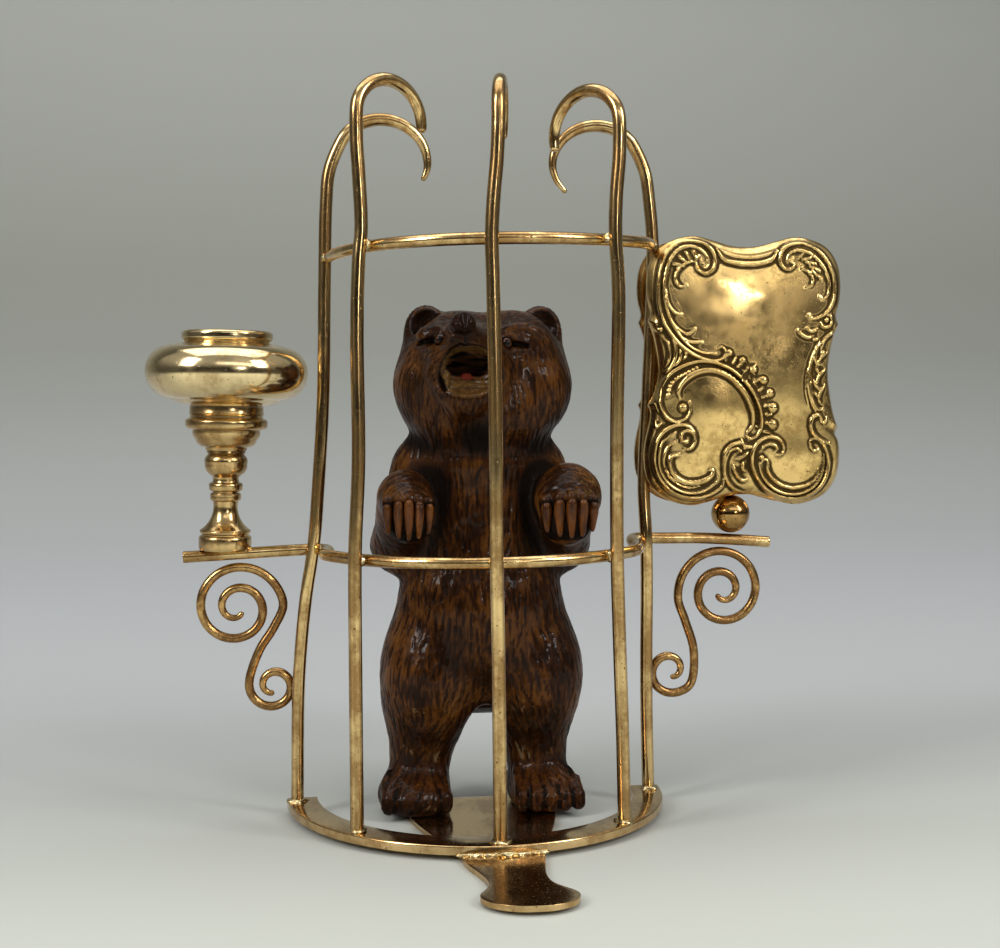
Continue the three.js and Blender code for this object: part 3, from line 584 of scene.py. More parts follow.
def foot_plate(material):
    """Rows of faces across the tongue and the bell, extruded to the sheet's thickness."""
    low, high = box_mm("foot_plate")
    start, tip = -high[1], -low[1]
    stations = list(np.arange(start, 68, 1.3)) + list(np.arange(68, tip - 0.8, 0.55))
    stations += [tip - 0.5, tip - 0.22, tip - 0.06]
    bm = bmesh.new()
    rows = []
    for t in stations:
        middle, half = plate_middle(t), plate_half_width(t)
        shares = np.linspace(-1, 1, PLATE_COLUMNS)
        rows.append([bm.verts.new((middle + share * half, -t, low[2])) for share in shares])
    for near, far in zip(rows, rows[1:]):
        for corners in zip(near, near[1:], far[1:], far):
            bmesh.ops.contextual_create(bm, geom=corners)
    raised = bmesh.ops.extrude_face_region(bm, geom=bm.faces[:])["geom"]
    top = [v for v in raised if isinstance(v, bmesh.types.BMVert)]
    bmesh.ops.translate(bm, vec=(0, 0, PLATE_THICKNESS), verts=top)
    bmesh.ops.recalc_face_normals(bm, faces=bm.faces)
    level = (e for e in bm.edges if abs(e.verts[0].co.z - e.verts[1].co.z) < 0.01)
    rim = [e for e in level if e.calc_face_angle(0) > 1.2]
    bmesh.ops.bevel(
        bm, geom=rim, offset=PLATE_EDGE, affect="EDGES", segments=3, profile=0.5, material=-1,
        clamp_overlap=True,
    )
    for v in bm.verts:
        v.co.z += plate_lift(-v.co.y)
    return dress(new_object("base_foot_plate", bm), material, ("foot_plate",))


RING_INNER = 37.5
RING_EDGE = 0.35
RING_GAP = 0.02


def ring_band(material):
    """Half ring spun round from one end to the other, short of a half turn by a small gap at each end."""
    low, high = box_mm("ring_band")
    outer = high[0]
    bm = bmesh.new()
    middle = (RING_INNER + outer) / 2
    place = Matrix.Translation((middle, 0, (low[2] + high[2]) / 2)) @ Matrix.Rotation(math.pi / 2, 4, "X")
    section = bmesh.ops.create_grid(bm, x_segments=1, y_segments=1, size=0.5, matrix=place)["verts"]
    for v in section:
        v.co.x = outer if v.co.x > middle else RING_INNER
        v.co.z = high[2] if v.co.z > (low[2] + high[2]) / 2 else low[2]
    bmesh.ops.bevel(
        bm, geom=section, offset=RING_EDGE, affect="VERTICES", segments=3, profile=0.5, material=-1
    )
    start = Matrix.Rotation(math.pi + RING_GAP, 3, "Z")
    bmesh.ops.rotate(bm, cent=(0, 0, 0), matrix=start, verts=bm.verts)
    bmesh.ops.spin(
        bm, geom=bm.verts[:] + bm.edges[:] + bm.faces[:], cent=(0, 0, 0), axis=(0, 0, 1),
        angle=math.pi - 2 * RING_GAP, steps=140,
    )
    bmesh.ops.remove_doubles(bm, verts=bm.verts, dist=1e-4)
    bmesh.ops.recalc_face_normals(bm, faces=bm.faces)
    return dress(new_object("base_ring", bm), material, ("ring_band",))


# Solder


def blob(bm, centre, radii, seed, rough=0.22, turn=0):
    """A small uneven bead."""
    made = bmesh.ops.create_icosphere(bm, subdivisions=3, radius=1)["verts"]
    draw = random.Random(seed)
    shift = Vector([draw.uniform(0, 50) for _ in range(3)])
    for v in made:
        v.co *= 1 + rough * noise.noise(v.co * 1.3 + shift)
        v.co = Vector([v.co[i] * radii[i] for i in range(3)])
    place = Matrix.Translation(centre) @ Matrix.Rotation(turn, 4, "Z")
    bmesh.ops.transform(bm, matrix=place, verts=made)


def solder_feet(material):
    """A bead at each bar's foot, a row of them along the ring's front edge, and a lump before it."""
    bm = bmesh.new()
    ring_high = box_mm("ring_band")[1]
    outer, ring_top = ring_high[0], ring_high[2]
    for i, node in enumerate(BAR_TIPS):
        middles, _ = cad_rings(node)
        foot = middles[0] if middles[0][2] < middles[-1][2] else middles[-1]
        blob(bm, (foot[0], foot[1], ring_top + 0.05), (2.25, 2.15, 0.85), 30 + i, 0.45)
    for i, x in enumerate(np.linspace(-8.3, 9, 11)):
        edge = -math.sqrt(outer * outer - x * x)
        place = (x, edge - 0.1, PLATE_THICKNESS + 0.15)
        blob(bm, place, (1.35, 0.6, 0.5), 80 + i, 0.4, math.atan2(x, -edge))
    blob(bm, (1.2, -outer - 0.5, PLATE_THICKNESS + 0.3), (2.3, 1.1, 0.8), 95, 0.5)
    dress(new_object("solder_feet", bm), material, (), 180)


def solder_hoops(material):
    """A bead wherever a hoop comes nearest to a bar."""
    bm = bmesh.new()
    for i, (hoop, size) in enumerate((("lower_hoop", 1.05), ("upper_hoop", 1.0))):
        hoop_line = splined(cad_rings(hoop)[0], 0.5)
        for j, node in enumerate(BAR_TIPS):
            bar_line = splined(cad_rings(node)[0], 0.5)
            gaps = np.linalg.norm(hoop_line[:, None] - bar_line[None], axis=2)
            a, b = np.unravel_index(gaps.argmin(), gaps.shape)
            spot = (hoop_line[a] + bar_line[b]) / 2
            blob(bm, spot, (1.35 * size, 1.35 * size, 1.2 * size), 50 + 10 * i + j, 0.5)
    dress(new_object("solder_hoops", bm), material, (), 180)


# Clip plates

# Middle of the plates, thickness, height of dome and rim, steps round the front plate, and x of the cusps
CLIP_X = 63.6
CLIP_Z = 103.4
CLIP_SHEET = 0.9
CLIP_DOME = 1.5
CLIP_RIM = 2
CLIP_SECTORS = 640
CUSP = 23.2


def quarter_outline(cusp, lobe):
    """Right upper quarter of the plates' outline, with its cusp at the given height and its lobe's reach."""
    return [
        (21.2, 0.4 * cusp), (22.2, 0.78 * cusp), (CUSP, cusp), (22.6, cusp + 1.7), (lobe - 0.2, 17),
        (lobe, 21), (lobe - 0.8, 25.4), (20.4, 29), (16.6, 31), (12.2, 31.7), (7.4, 30.6), (3.4, 29.5),
    ]


# Sides in x and z, height of the cusp and reach of the lobe of each quarter
QUARTERS = [(1, 1, 11.2, 23.6), (-1, 1, 11.8, 23.6), (-1, -1, 8, 24.1), (1, -1, 13.3, 23.7)]


def clip_reach(angles):
    """Distance from the plates' middle to their outline in each direction, smooth but for the four cusps."""
    corners, runs = [], []
    for q, (sx, sz, cusp, lobe) in enumerate(QUARTERS):
        quarter = [(sx * x, sz * z) for x, z in quarter_outline(cusp, lobe)]
        corners.append([(0, sz * 29.2)] if q % 2 else [(sx * 20.7, 0)])
        corners[-1] += quarter[::-1] if q % 2 else quarter
    loop = [p for part in corners for p in part]
    cusps = [i for i, p in enumerate(loop) if abs(abs(p[0]) - CUSP) < 1e-6]
    for a, b in zip(cusps, cusps[1:] + [cusps[0] + len(loop)]):
        run = [loop[i % len(loop)] for i in range(a, b + 1)]
        runs.append(splined([(x, 0, z) for x, z in run], 0.4))
    curve = np.vstack(runs)
    around = np.arctan2(curve[:, 2], curve[:, 0])
    order = np.argsort(around)
    around = around[order]
    reach = np.hypot(curve[:, 0], curve[:, 2])[order]
    return np.interp(angles, around, reach, period=2 * math.pi)


# Low cushions of the sheet: middle in x and z, radii and height
CUSHIONS = [
    (-7.5, -9, 6, 7, 0.55), (1, 17, 12, 9, 0.3), (-6.4, 20.5, 3.2, 2.6, 0.12),
    (3, 17.5, 3.0, 2.6, 0.14), (10.5, 0, 5, 12, 0.3), (10.5, -21, 5, 5, 0.3), (-14, -21, 4, 5, 0.2),
]


def clip_rise(share, x, z, cushions):
    """How far the sheet stands out from its edge plane: a dome, and a rim that falls back to the edge."""
    t = np.minimum(1, (1 - share) / 0.085)
    dome = CLIP_DOME * np.exp(-1.25 * ((x / 23.5) ** 2 + (z / 31.5) ** 2))
    for cx, cz, rx, rz, height in CUSHIONS if cushions else ():
        dome += height * np.exp(-(((x - cx) / rx) ** 2) - ((z - cz) / rz) ** 2)
    return dome * (1 - share**8) + CLIP_RIM * t * (2 - t)


# Ridges of the front plate: width, height and the points of each, in x and z from the plate's middle.
RIDGES = [
    # Upper left volute, down the border and under to a small curl, and a finer line inside it
    (1.15, 0.8, [(-11.9, 26.9), (-12.6, 25.4), (-12, 23.6), (-10.3, 22.7), (-8.5, 23.7), (-7.9, 25.8),
                 (-8.7, 28.2), (-10.8, 30), (-13.5, 30.6), (-16.5, 30.2), (-19.2, 28), (-20.7, 25),
                 (-21.4, 21.5), (-21.5, 18), (-21.1, 14.5), (-20, 11), (-18.2, 8.2), (-16, 5.8),
                 (-13.5, 4), (-11, 2.9), (-8.3, 2.4), (-6.2, 3), (-5.5, 4.5), (-6.4, 5.6), (-7.6, 5.2)]),
    (0.85, 0.5, [(-10.9, 24.7), (-10, 25.6), (-10.2, 27.2), (-11.8, 28.6), (-14, 29.1), (-16.6, 28.3),
                 (-18.6, 26), (-19.6, 23), (-20.1, 19.5), (-19.7, 15.5), (-18.3, 11.5), (-16.3, 8.2),
                 (-13.8, 5.6), (-10.5, 4.2), (-8, 4.1)]),
    (0.8, 0.6, [(-12.7, 25.5), (-14.5, 25.3), (-16.3, 24.2), (-17.3, 22.5), (-17.3, 20.8), (-16.3, 19.7),
                (-15, 20)]),
    # Fronds inside the left border
    (0.75, 0.45, [(-19.8, 20), (-19, 15.5), (-17.5, 13.6), (-16, 13.2)]),
    (0.75, 0.45, [(-19.4, 13), (-17, 10), (-14.5, 8.6), (-12.7, 10)]),
    (0.75, 0.4, [(-17, 8.5), (-14, 6.8), (-11, 6.8)]),
    # Bar at the top
    (1.2, 0.75, [(-7.5, 28.5), (-6, 26.2), (-3.5, 25.3), (0, 25), (3.5, 25.3), (6, 26.3), (7.2, 28.3)]),
    # Upper right volute round the corner, a finer line inside it, and the hook
    (1.1, 0.75, [(10, 25.9), (11.3, 24.9), (10.5, 24), (9, 24), (7.9, 25.3), (7.9, 27.3), (9, 29), (11, 30),
                 (13.5, 30.2), (16.5, 29), (19, 26.5), (20.6, 23.5), (21.3, 20), (20.9, 16.5), (19.5, 14),
                 (17.5, 12.7), (15.5, 12.4), (14.8, 13.2)]),
    (0.85, 0.5, [(9.3, 26), (10, 27.6), (12, 28.4), (14.5, 28), (17, 26.3), (19, 23.7), (20, 20.5),
                 (19.6, 18), (18.3, 17), (17.4, 17.6)]),
    (0.75, 0.5, [(12.8, 24.2), (14.5, 23.5), (15.8, 22), (15.6, 20.3), (14, 19.6)]),
    # Leaves and small volute at the right border
    (1.0, 0.6, [(11.9, 9.6), (13, 8.6), (14.6, 7.9), (16, 8.2)]),
    (0.9, 0.5, [(14.2, 10.1), (15.5, 9.3), (17, 9.8)]),
    (0.8, 0.5, [(15.8, 7.4), (17.3, 7.5)]),
    (0.9, 0.6, [(17.6, 11.5), (18.5, 10.4), (19.8, 10.5), (20.6, 11.6), (20.3, 13), (19, 13.3)]),
    # Garland down the right side
    (0.95, 0.6, [(21.6, 9.2), (20, 8.6), (18.7, 7.2), (18, 5.6), (17.9, 4.6)]),
    (1.1, 0.6, [(17.5, 7), (16.7, 5), (16.4, 3), (17, 1.8), (18.3, 1.5)]),
    (1.1, 0.6, [(15.3, -1), (15.3, -4), (16, -7), (17.2, -9), (18.6, -9)]),
    (0.9, 0.5, [(16, -2), (17, -3.8), (18, -4)]),
    (0.9, 0.5, [(16.3, -5), (17.4, -6.3)]),
    (0.6, 0.35, [(14.3, 0.5), (14.2, -5), (15, -8.4)]),
    (1.0, 0.6, [(18.9, 7.6), (16.6, 5), (15.4, 2.2), (14.8, -1), (14.8, -3.6), (15.4, -6.6), (16.8, -9.8)]),
    (0.9, 0.55, [(19.6, 4.4), (17.8, 3.0), (17.0, 0.8), (17.5, -0.8)]),
    (0.9, 0.55, [(19.2, 0.4), (17.5, -1.2), (17.0, -3.4), (17.7, -4.8)]),
    (0.9, 0.5, [(19, -3.4), (17.8, -5.2), (17.6, -7), (18.3, -8)]),
    # Volute under the garland
    (1.1, 0.7, [(18.5, -12), (17.6, -10.4), (16, -11), (15.6, -12.8), (16.3, -14.8), (17.8, -16.3),
                (19.6, -17), (20.4, -17.3)]),
    (0.7, 0.45, [(19.6, -11), (19, -12.3), (18, -11.8)]),
    # Lower right scroll: outer, middle and inner line, and the loop of its volute
    (1.1, 0.8, [(17.6, -18.6), (16.4, -18.9), (15.6, -17.8), (15.6, -16.4), (16.8, -16), (18.6, -17),
                (19.8, -19.3), (20.2, -22), (19.4, -25.5), (17.5, -28.3), (14.5, -30), (11, -30.4),
                (7.5, -29.6), (4.5, -27.6), (2.3, -24.6), (1.2, -21.3), (1.6, -18.2), (3.2, -16.3),
                (5.6, -15.5), (7.9, -16.2), (8.9, -18), (8.3, -19.6), (7, -19.8)]),
    (0.8, 0.5, [(19, -19.5), (18.9, -23), (17.3, -26.7), (14.4, -28.7), (11, -29.2), (7.8, -28.4), (5, -26.3),
                (3.4, -23.5), (3.2, -21.5)]),
    (0.85, 0.6, [(17.7, -23.3), (17.4, -25), (15.4, -26.8), (12.3, -27.6), (9.2, -27.2), (6.6, -25.6),
                 (5.2, -23.4), (5, -21.2), (4.3, -20.8), (3.4, -21.6)]),
    (0.75, 0.5, [(3.2, -19), (4.2, -17.6), (6, -17.2), (7.3, -18.2), (6.6, -19.2)]),
    # Leaf at the bottom
    (0.95, 0.65, [(-5.8, -22), (-5.2, -18.8), (-3.4, -17.2), (-1.2, -17), (-0.6, -18.4)]),
    (0.9, 0.6, [(-1.4, -19), (-2.6, -18.2), (-4.2, -18.8), (-5.2, -20.8), (-5.4, -23.5), (-4.5, -26),
                (-2.6, -28), (0, -28.8), (2, -28.4)]),
    (0.8, 0.5, [(0.2, -19.2), (-1.5, -20.4), (-3, -20.6)]),
    (0.8, 0.5, [(-3.5, -22), (-2.6, -24), (-1, -25.8), (0.5, -25.4)]),
    (0.8, 0.5, [(-1, -21.5), (-0.8, -23.2), (0, -23.6)]),
    (0.8, 0.5, [(-1.6, -16), (-0.6, -17.6), (0.8, -17.9), (2.2, -17.4)]),
    # Frame of the medallion: outer line, and the broad bright lip inside it
    (1.05, 0.75, [(-14.2, -7.2), (-13.9, -9), (-14.8, -11), (-17, -11.9), (-19.2, -11), (-20.7, -8.7),
                  (-21.2, -6), (-20.4, -3), (-18.5, -0.6), (-15.5, 1.2), (-12, 2.2), (-8.5, 2), (-5, 0.8),
                  (-2, -1.4), (0.5, -4.2), (2.4, -7.5), (3.3, -10.7), (3.2, -13.6), (2, -15.5), (0.6, -15.9),
                  (-0.3, -15), (0, -14.2)]),
    (1.5, 0.75, [(-16.2, -6.5), (-16.6, -4.6), (-15.4, -2.4), (-13, -0.6), (-10, 0.2), (-7, -0.2), (-4, -1.8),
                 (-1.6, -4.2), (0.3, -7.4), (1.2, -10.5), (1, -13), (0, -14.2)]),
    # Leaves at the left side
    (0.9, 0.55, [(-20.4, 7.8), (-19.3, 6.8), (-18.7, 4.5), (-19, 2.3), (-20, 0.8)]),
    (1.0, 0.6, [(-18.9, 8.8), (-17.6, 6.5), (-17.4, 3.5), (-18.8, 0.5), (-20.3, -0.4), (-21, 0.2)]),
    (0.8, 0.5, [(-16.8, 5.8), (-16.2, 4), (-16.8, 2), (-18.3, 0.7)]),
    (0.7, 0.45, [(-15.3, 5), (-14.9, 3.6), (-15.6, 2.6)]),
    (0.8, 0.5, [(-22, 10), (-21.2, 9.3), (-20.5, 10.2)]),
    # Small scrolls at the left edge
    (0.85, 0.5, [(-22.2, -7.5), (-21.9, -8.6), (-21.3, -9.6)]),
    (0.85, 0.5, [(-22.4, -11.5), (-21.8, -13), (-20.6, -12.2)]),
    # Lower left scroll: volute, border, two lines and the broad bright one
    (0.95, 0.7, [(-14.4, -16.6), (-15.7, -16.3), (-15.9, -14.9), (-14.6, -13.9), (-13.1, -14.7),
                 (-12.7, -16.6), (-13.8, -18.2), (-15.4, -18.3)]),
    (1.1, 0.8, [(-12.9, -17.5), (-12.6, -15), (-14.2, -13), (-16.6, -12.6), (-19.3, -13.6), (-21.4, -15.8),
                (-22.2, -18.8), (-22.1, -22.2), (-20.7, -25.6), (-18.3, -28.2), (-14.8, -29.7),
                (-11.2, -29.9), (-8, -28.8), (-5.8, -26.9), (-5.6, -25.3)]),
    (0.75, 0.5, [(-17.3, -14.4), (-20.2, -16.4), (-21.1, -19.5), (-20.9, -22.8), (-19.2, -26),
                 (-16.2, -28.1), (-12.6, -28.7), (-9.5, -27.8), (-7.3, -26), (-7, -24.9)]),
    (0.7, 0.45, [(-16.7, -16.2), (-19, -17.8), (-20, -20.5), (-19.3, -23.6), (-17, -26.2), (-14, -27.4),
                 (-11.2, -27)]),
    (1.35, 0.7, [(-16.3, -19.6), (-18.3, -20), (-18.4, -22.5), (-16.9, -25), (-14.2, -26.2), (-11, -26),
                 (-8.6, -24.7), (-8.2, -23.4), (-9, -23.2)]),
]
# Shell flutes: fans of short ridges, each from a point near a volute outwards
FLUTES = [
    ((-12.6, 26.2), (-13.2, 28)), ((-13.8, 25.8), (-15, 27.7)), ((-14.8, 25.2), (-16.7, 26.8)),
    ((-15.5, 24.4), (-17.8, 25)), ((12.2, 26.6), (13.4, 27.5)), ((13.3, 26.2), (15.2, 26.6)),
    ((14.3, 25.6), (16.6, 25.2)), ((15.1, 24.7), (17.6, 23.5)), ((15.6, 23.6), (18.2, 21.6)),
]
# Middle and radius of each pearl
PEARLS = [
    (-4.7, 4.2, 0.85), (-1.5, 2.3, 0.95), (1.1, 0.3, 0.95), (3.6, -2.2, 1.0), (5.2, -5.2, 1.0),
    (6.0, -8.7, 1.15), (6.0, -12.6, 1.15), (-15.6, -8.6, 1.05), (18.4, 4.2, 0.8), (19.3, 12.0, 0.7),
    (3.6, -20.4, 0.6),
]
# Ticks of the comb between the pearls and the medallion's frame
COMB = [
    ((-5.6, 2.4), (-5.2, 3.6)), ((-3.8, 1.7), (-3.1, 3.0)), ((-2.6, 0.9), (-2.0, 1.7)),
    ((-1, -0.2), (0, 0.9)), ((0.2, -1.4), (0.9, -0.6)), ((1.4, -2.8), (2.8, -1.7)),
    ((2.5, -4.6), (3.4, -3.9)), ((3.4, -6.3), (4.6, -5.8)), ((3.9, -8.2), (5, -7.9)),
    ((4.3, -10.2), (5.6, -10.2)), ((4.3, -12.2), (5, -12.3)), ((3.9, -14.3), (5.2, -14.6)),
]
# Middle line of the rope beads at the left and the top of the medallion's frame, and of the pits at its right
ROPE = [(-19, 0, -5.6), (-18.6, 0, -3.6), (-17.2, 0, -1.9), (-15, 0, -0.6), (-12.4, 0, 0.8)]
PITS = [(-6, 0, 0.4), (-2, 0, -2.6), (0.9, 0, -6), (2.2, 0, -10.2), (2.1, 0, -13.6)]


def ridge_height(x, z, points, width, height, out, taper=True):
    """Raises out to a rounded ridge with steep sides along a curve, thinner towards its ends."""
    line = splined([(px, 0, pz) for px, pz in points], 0.35)[:, [0, 2]]
    low, high = line.min(0) - width, line.max(0) + width
    near = np.flatnonzero((x > low[0]) & (x < high[0]) & (z > low[1]) & (z < high[1]))
    if not len(near):
        return
    start, step = line[:-1], np.diff(line, axis=0)
    length2 = np.maximum(1e-9, (step**2).sum(1))
    share = np.linspace(0, 1, len(line))
    best = np.full(len(near), 9.0)
    best_u = np.zeros(len(near))
    for k in range(len(start)):
        dx, dz = x[near] - start[k, 0], z[near] - start[k, 1]
        t = np.clip((dx * step[k, 0] + dz * step[k, 1]) / length2[k], 0, 1)
        d = np.hypot(dx - t * step[k, 0], dz - t * step[k, 1])
        closer = d < best
        best[closer] = d[closer]
        best_u[closer] = share[k] + t[closer] / len(start)
    thin = 0.45 + 0.55 * np.clip(np.minimum(best_u, 1 - best_u) * 5, 0, 1) if taper else 1
    half = width / 2 * thin
    t = np.clip(best / half, 0, 1)
    rise = height * thin * (1 - t**2.4)
    np.maximum.at(out, near, rise)


def ornament(x, z):
    """Height of the scrollwork over the plain sheet."""
    raised = np.zeros(len(x))
    for width, height, points in RIDGES:
        ridge_height(x, z, points, width * 1.12, height, raised)
    for start, end in FLUTES:
        ridge_height(x, z, [start, end], 0.8, 0.45, raised, False)
    for px, pz, radius in PEARLS:
        d = np.hypot(x - px, z - pz) / radius
        raised = np.maximum(raised, 0.75 * np.sqrt(np.clip(1 - d**2, 0, 1)))
    for start, end in COMB:
        ridge_height(x, z, [start, end], 0.75, 0.45, raised, False)
    for px, _, pz in splined(ROPE, 1.0):
        d = np.hypot(x - px, z - pz)
        raised = np.maximum(raised, 0.5 * np.clip(1 - (d / 0.55) ** 2, 0, 1))
    for px, _, pz in splined(PITS, 1.15):
        d = np.hypot(x - px, z - pz)
        raised -= 0.35 * np.clip(1 - (d / 0.42) ** 2, 0, 1)
    return raised


def sheet_relief(table, x, z):
    """Height of the ornament at each point, and how much dirt lies there beside its ridges, 0 to 1."""
    raised = ornament(x, z)
    nearby = np.zeros(len(x))
    for a in range(12):
        for r in (0.5, 1.0):
            dx, dz = r * math.cos(a * math.pi / 6), r * math.sin(a * math.pi / 6)
            nearby += table(x + dx, z + dz) / 24
    return raised, np.clip((nearby - raised) * 6, 0, 1)


def plate_piece(name, node, side, relief, material):
    """One plate of the clip: a disc of sectors and rings, pushed out into outline, dome and relief.
    side is -1 where the plate faces the front. relief is the ornament's table, or None on a plain plate."""
    edge_y = box_mm(node)[1 if side < 0 else 0][1]
    shares = [0, 0.02, 0.05] + list(np.linspace(0.08, 0.9, 92 if relief else 40))
    shares += list(np.linspace(0.9, 1, 16)[1:])
    sectors = CLIP_SECTORS if relief else 360
    back = [1, 0.995, 0.97, 0.93, 0.9, 0.7, 0.4, 0]
    bm = bmesh.new()
    layer = bm.verts.layers.float.new("share")
    lift = bm.verts.layers.float.new("lift")
    verts = []
    for share, above in [(s, 1) for s in shares] + [(s, 0) for s in back]:
        v = bm.verts.new((share, 0, 0 if above else 0.001))
        v[layer] = share
        v[lift] = above
        verts.append(v)
    edges = [bm.edges.new(pair) for pair in zip(verts, verts[1:])]
    bmesh.ops.spin(
        bm, geom=verts + edges, cent=(0, 0, 0), axis=(0, 0, 1), angle=2 * math.pi, steps=sectors,
        use_merge=True,
    )
    bmesh.ops.remove_doubles(bm, verts=bm.verts, dist=1e-6)
    bmesh.ops.recalc_face_normals(bm, faces=bm.faces)
    co = np.array([v.co for v in bm.verts])
    share = np.array([v[layer] for v in bm.verts])
    above = np.array([v[lift] for v in bm.verts])
    around = np.arctan2(co[:, 1], co[:, 0])
    reach = clip_reach(around)
    x = reach * share * np.cos(around)
    z = reach * share * np.sin(around)
    rise = clip_rise(share, x, z, relief)
    groove = np.zeros(len(x))
    front = above > 0.5
    fade = ramp(1.0, 0.93, share)
    if relief:
        raised, dirt = sheet_relief(relief, x[front], z[front])
        groove[front] = dirt * fade[front]
        rise[front] += raised * fade[front]
    rise = rise + above * CLIP_SHEET
    for v, px, ry, pz in zip(bm.verts, x, rise, z):
        v.co = (CLIP_X + px, edge_y + side * ry, CLIP_Z + pz)
    if side > 0:
        bmesh.ops.reverse_faces(bm, faces=bm.faces)
    obj = new_object(name, bm)
    for old in ("share", "lift"):
        obj.data.attributes.remove(obj.data.attributes[old])
    values_of(obj.data, "groove", groove)
    return dress(obj, material, (node,), 60)


def clip_ball(material):
    """The ball that carries the clip on the right arm."""
    low, high = box_mm("clip_ball")
    bm = bmesh.new()
    bmesh.ops.create_uvsphere(bm, u_segments=64, v_segments=40, radius=(high[2] - low[2]) / 2)
    bmesh.ops.translate(bm, vec=(low + high) / 2, verts=bm.verts)
    dress(new_object("clip_round_ball", bm), material, ("clip_ball",), 180)


def clip_strip(material):
    """The strip that joins the two plates at the bottom."""
    low, high = box_mm("clip_base_strip")
    bm = bmesh.new()
    bmesh.ops.create_cube(bm, size=1)
    bmesh.ops.scale(bm, vec=high - low, verts=bm.verts)
    bmesh.ops.translate(bm, vec=(low + high) / 2, verts=bm.verts)
    bmesh.ops.bevel(
        bm, geom=bm.edges[:], offset=0.3, affect="EDGES", segments=3, profile=0.5, material=-1
    )
    dress(new_object("clip_strip", bm), material, ("clip_base_strip",))


class OrnamentTable:
    """The ornament's height on a fine grid, read between its points."""

    WIDE, TALL = 26, 34

    def __init__(self, cell=0.12):
        self.cell = cell
        xs = np.arange(-self.WIDE, self.WIDE, cell)
        zs = np.arange(-self.TALL, self.TALL, cell)
        grid_x, grid_z = np.meshgrid(xs, zs)
        self.table = ornament(grid_x.ravel(), grid_z.ravel()).reshape(grid_x.shape)

    def __call__(self, x, z):
        u = np.clip((x + self.WIDE) / self.cell, 0, self.table.shape[1] - 2)
        v = np.clip((z + self.TALL) / self.cell, 0, self.table.shape[0] - 2)
        i, j = u.astype(int), v.astype(int)
        fu, fv = u - i, v - j
        top = self.table[j, i] * (1 - fu) + self.table[j, i + 1] * fu
        bottom = self.table[j + 1, i] * (1 - fu) + self.table[j + 1, i + 1] * fu
        return top * (1 - fv) + bottom * fv


# Bear


def melt(a, b, soft):
    """The lesser of two distances, run into each other over the width soft."""
    h = np.maximum(0, soft - np.abs(a - b)) / soft
    return np.minimum(a, b) - h * h * soft / 4


class Clay:
    """Rounded masses in millimetres that melt into each other, measured as a distance from their skin."""

    def __init__(self):
        self.masses = []

    def ball(self, centre, radii, soft, sign=1):
        c, r = np.array(centre, float), np.array(radii, float)

        def measure(p):
            q = (p - c) / r
            k0 = np.sqrt((q * q).sum(1))
            k1 = np.sqrt(((q / r) ** 2).sum(1))
            return k0 * (k0 - 1) / np.maximum(k1, 1e-9)

        self.masses.append((sign, c, max(radii), measure, soft))

    def cut(self, centre, radii, soft):
        self.ball(centre, radii, soft, -1)

    def limb(self, start, start_radius, end, end_radius, soft, sign=1):
        a, b = np.array(start, float), np.array(end, float)
        along = b - a

        def measure(p):
            ap = p - a
            t = np.clip(ap @ along / (along @ along), 0, 1)
            off = ap - t[:, None] * along
            return np.sqrt((off * off).sum(1)) - start_radius - (end_radius - start_radius) * t

        reach = np.linalg.norm(along) / 2 + max(start_radius, end_radius)
        self.masses.append((sign, (a + b) / 2, reach, measure, soft))

    def course(self, line):
        """A line of x and z on the front, laid on the skin."""
        out = splined([(x, 0, z) for x, z in line], 0.7)
        out[:, 1] = -34
        for _ in range(70):
            out[:, 1] += np.clip(self.distance(out) * 0.6, 0, 1.2)
        for _ in range(4):
            out[1:-1, 1] = (out[:-2, 1] + out[2:, 1] + 2 * out[1:-1, 1]) / 4
        return out

    def distance(self, points):
        """Height of each point over the clay's skin, below 0 inside."""
        out = np.full(len(points), 1e3)
        for sign, middle, reach, measure, soft in self.masses:
            off = points - middle
            near = np.flatnonzero((off * off).sum(1) < (reach + soft + 3) ** 2)
            if len(near):
                out[near] = sign * melt(sign * out[near], measure(points[near]), soft)
        return out

    def slope(self, points, distance):
        """How the distance grows along x, y and z at each point."""
        step = 0.04
        out = np.empty_like(points)
        for axis in range(3):
            moved = points.copy()
            moved[:, axis] += step
            out[:, axis] = (self.distance(moved) - distance) / step
        return out

    def settled(self, points, passes, limit):
        """The points moved onto the skin, and the skin's outward direction there."""
        points = points.copy()
        for _ in range(passes):
            d = self.distance(points)
            g = self.slope(points, d)
            share = np.clip(d / np.maximum(0.3, (g * g).sum(1)), -limit, limit)
            points -= g * share[:, None]
        d = self.distance(points)
        g = self.slope(points, d)
        return points, g / np.maximum(1e-6, np.linalg.norm(g, axis=1))[:, None]


LEGS = [
    {"hip": -10.8, "knee": -12.3, "ankle": -13.5, "foot": -15, "toes": -12.2},
    {"hip": 13.8, "knee": 13.8, "ankle": 14.8, "foot": 15.9, "toes": -13.4},
]
ARMS = [
    {"elbow": -17.6, "wrist": -17.6, "thick": 6.5, "paw": (-17.6, -17.3), "spread": 2.35, "claw": 1.2},
    {"elbow": 20.6, "wrist": 19.9, "thick": 7.8, "paw": (18.8, 18.7), "spread": 2.7, "claw": 1.36},
]
CLAWS = 5
TOES = 5
NECK = 82.6
COARSE_CELL = 0.8
OVERLAP = 2
RUFF_LOCKS = 27
EYES = {
    name: (np.array(low) + np.array(high)) / 2
    for name, (low, high) in {n: box_mm(n) for n in ("eye_left", "eye_right")}.items()
}
EYE_RADIUS = float(box_mm("eye_left")[1][2] - box_mm("eye_left")[0][2]) / 2
SOLE = box_mm("bear")[0][2]
MOUTH = np.array([-3.9, -19.5, 103.2])
MOUTH_RADII = (6.6, 11, 5.8)
THROAT = np.array([-3.6, -19.5, 104.4])
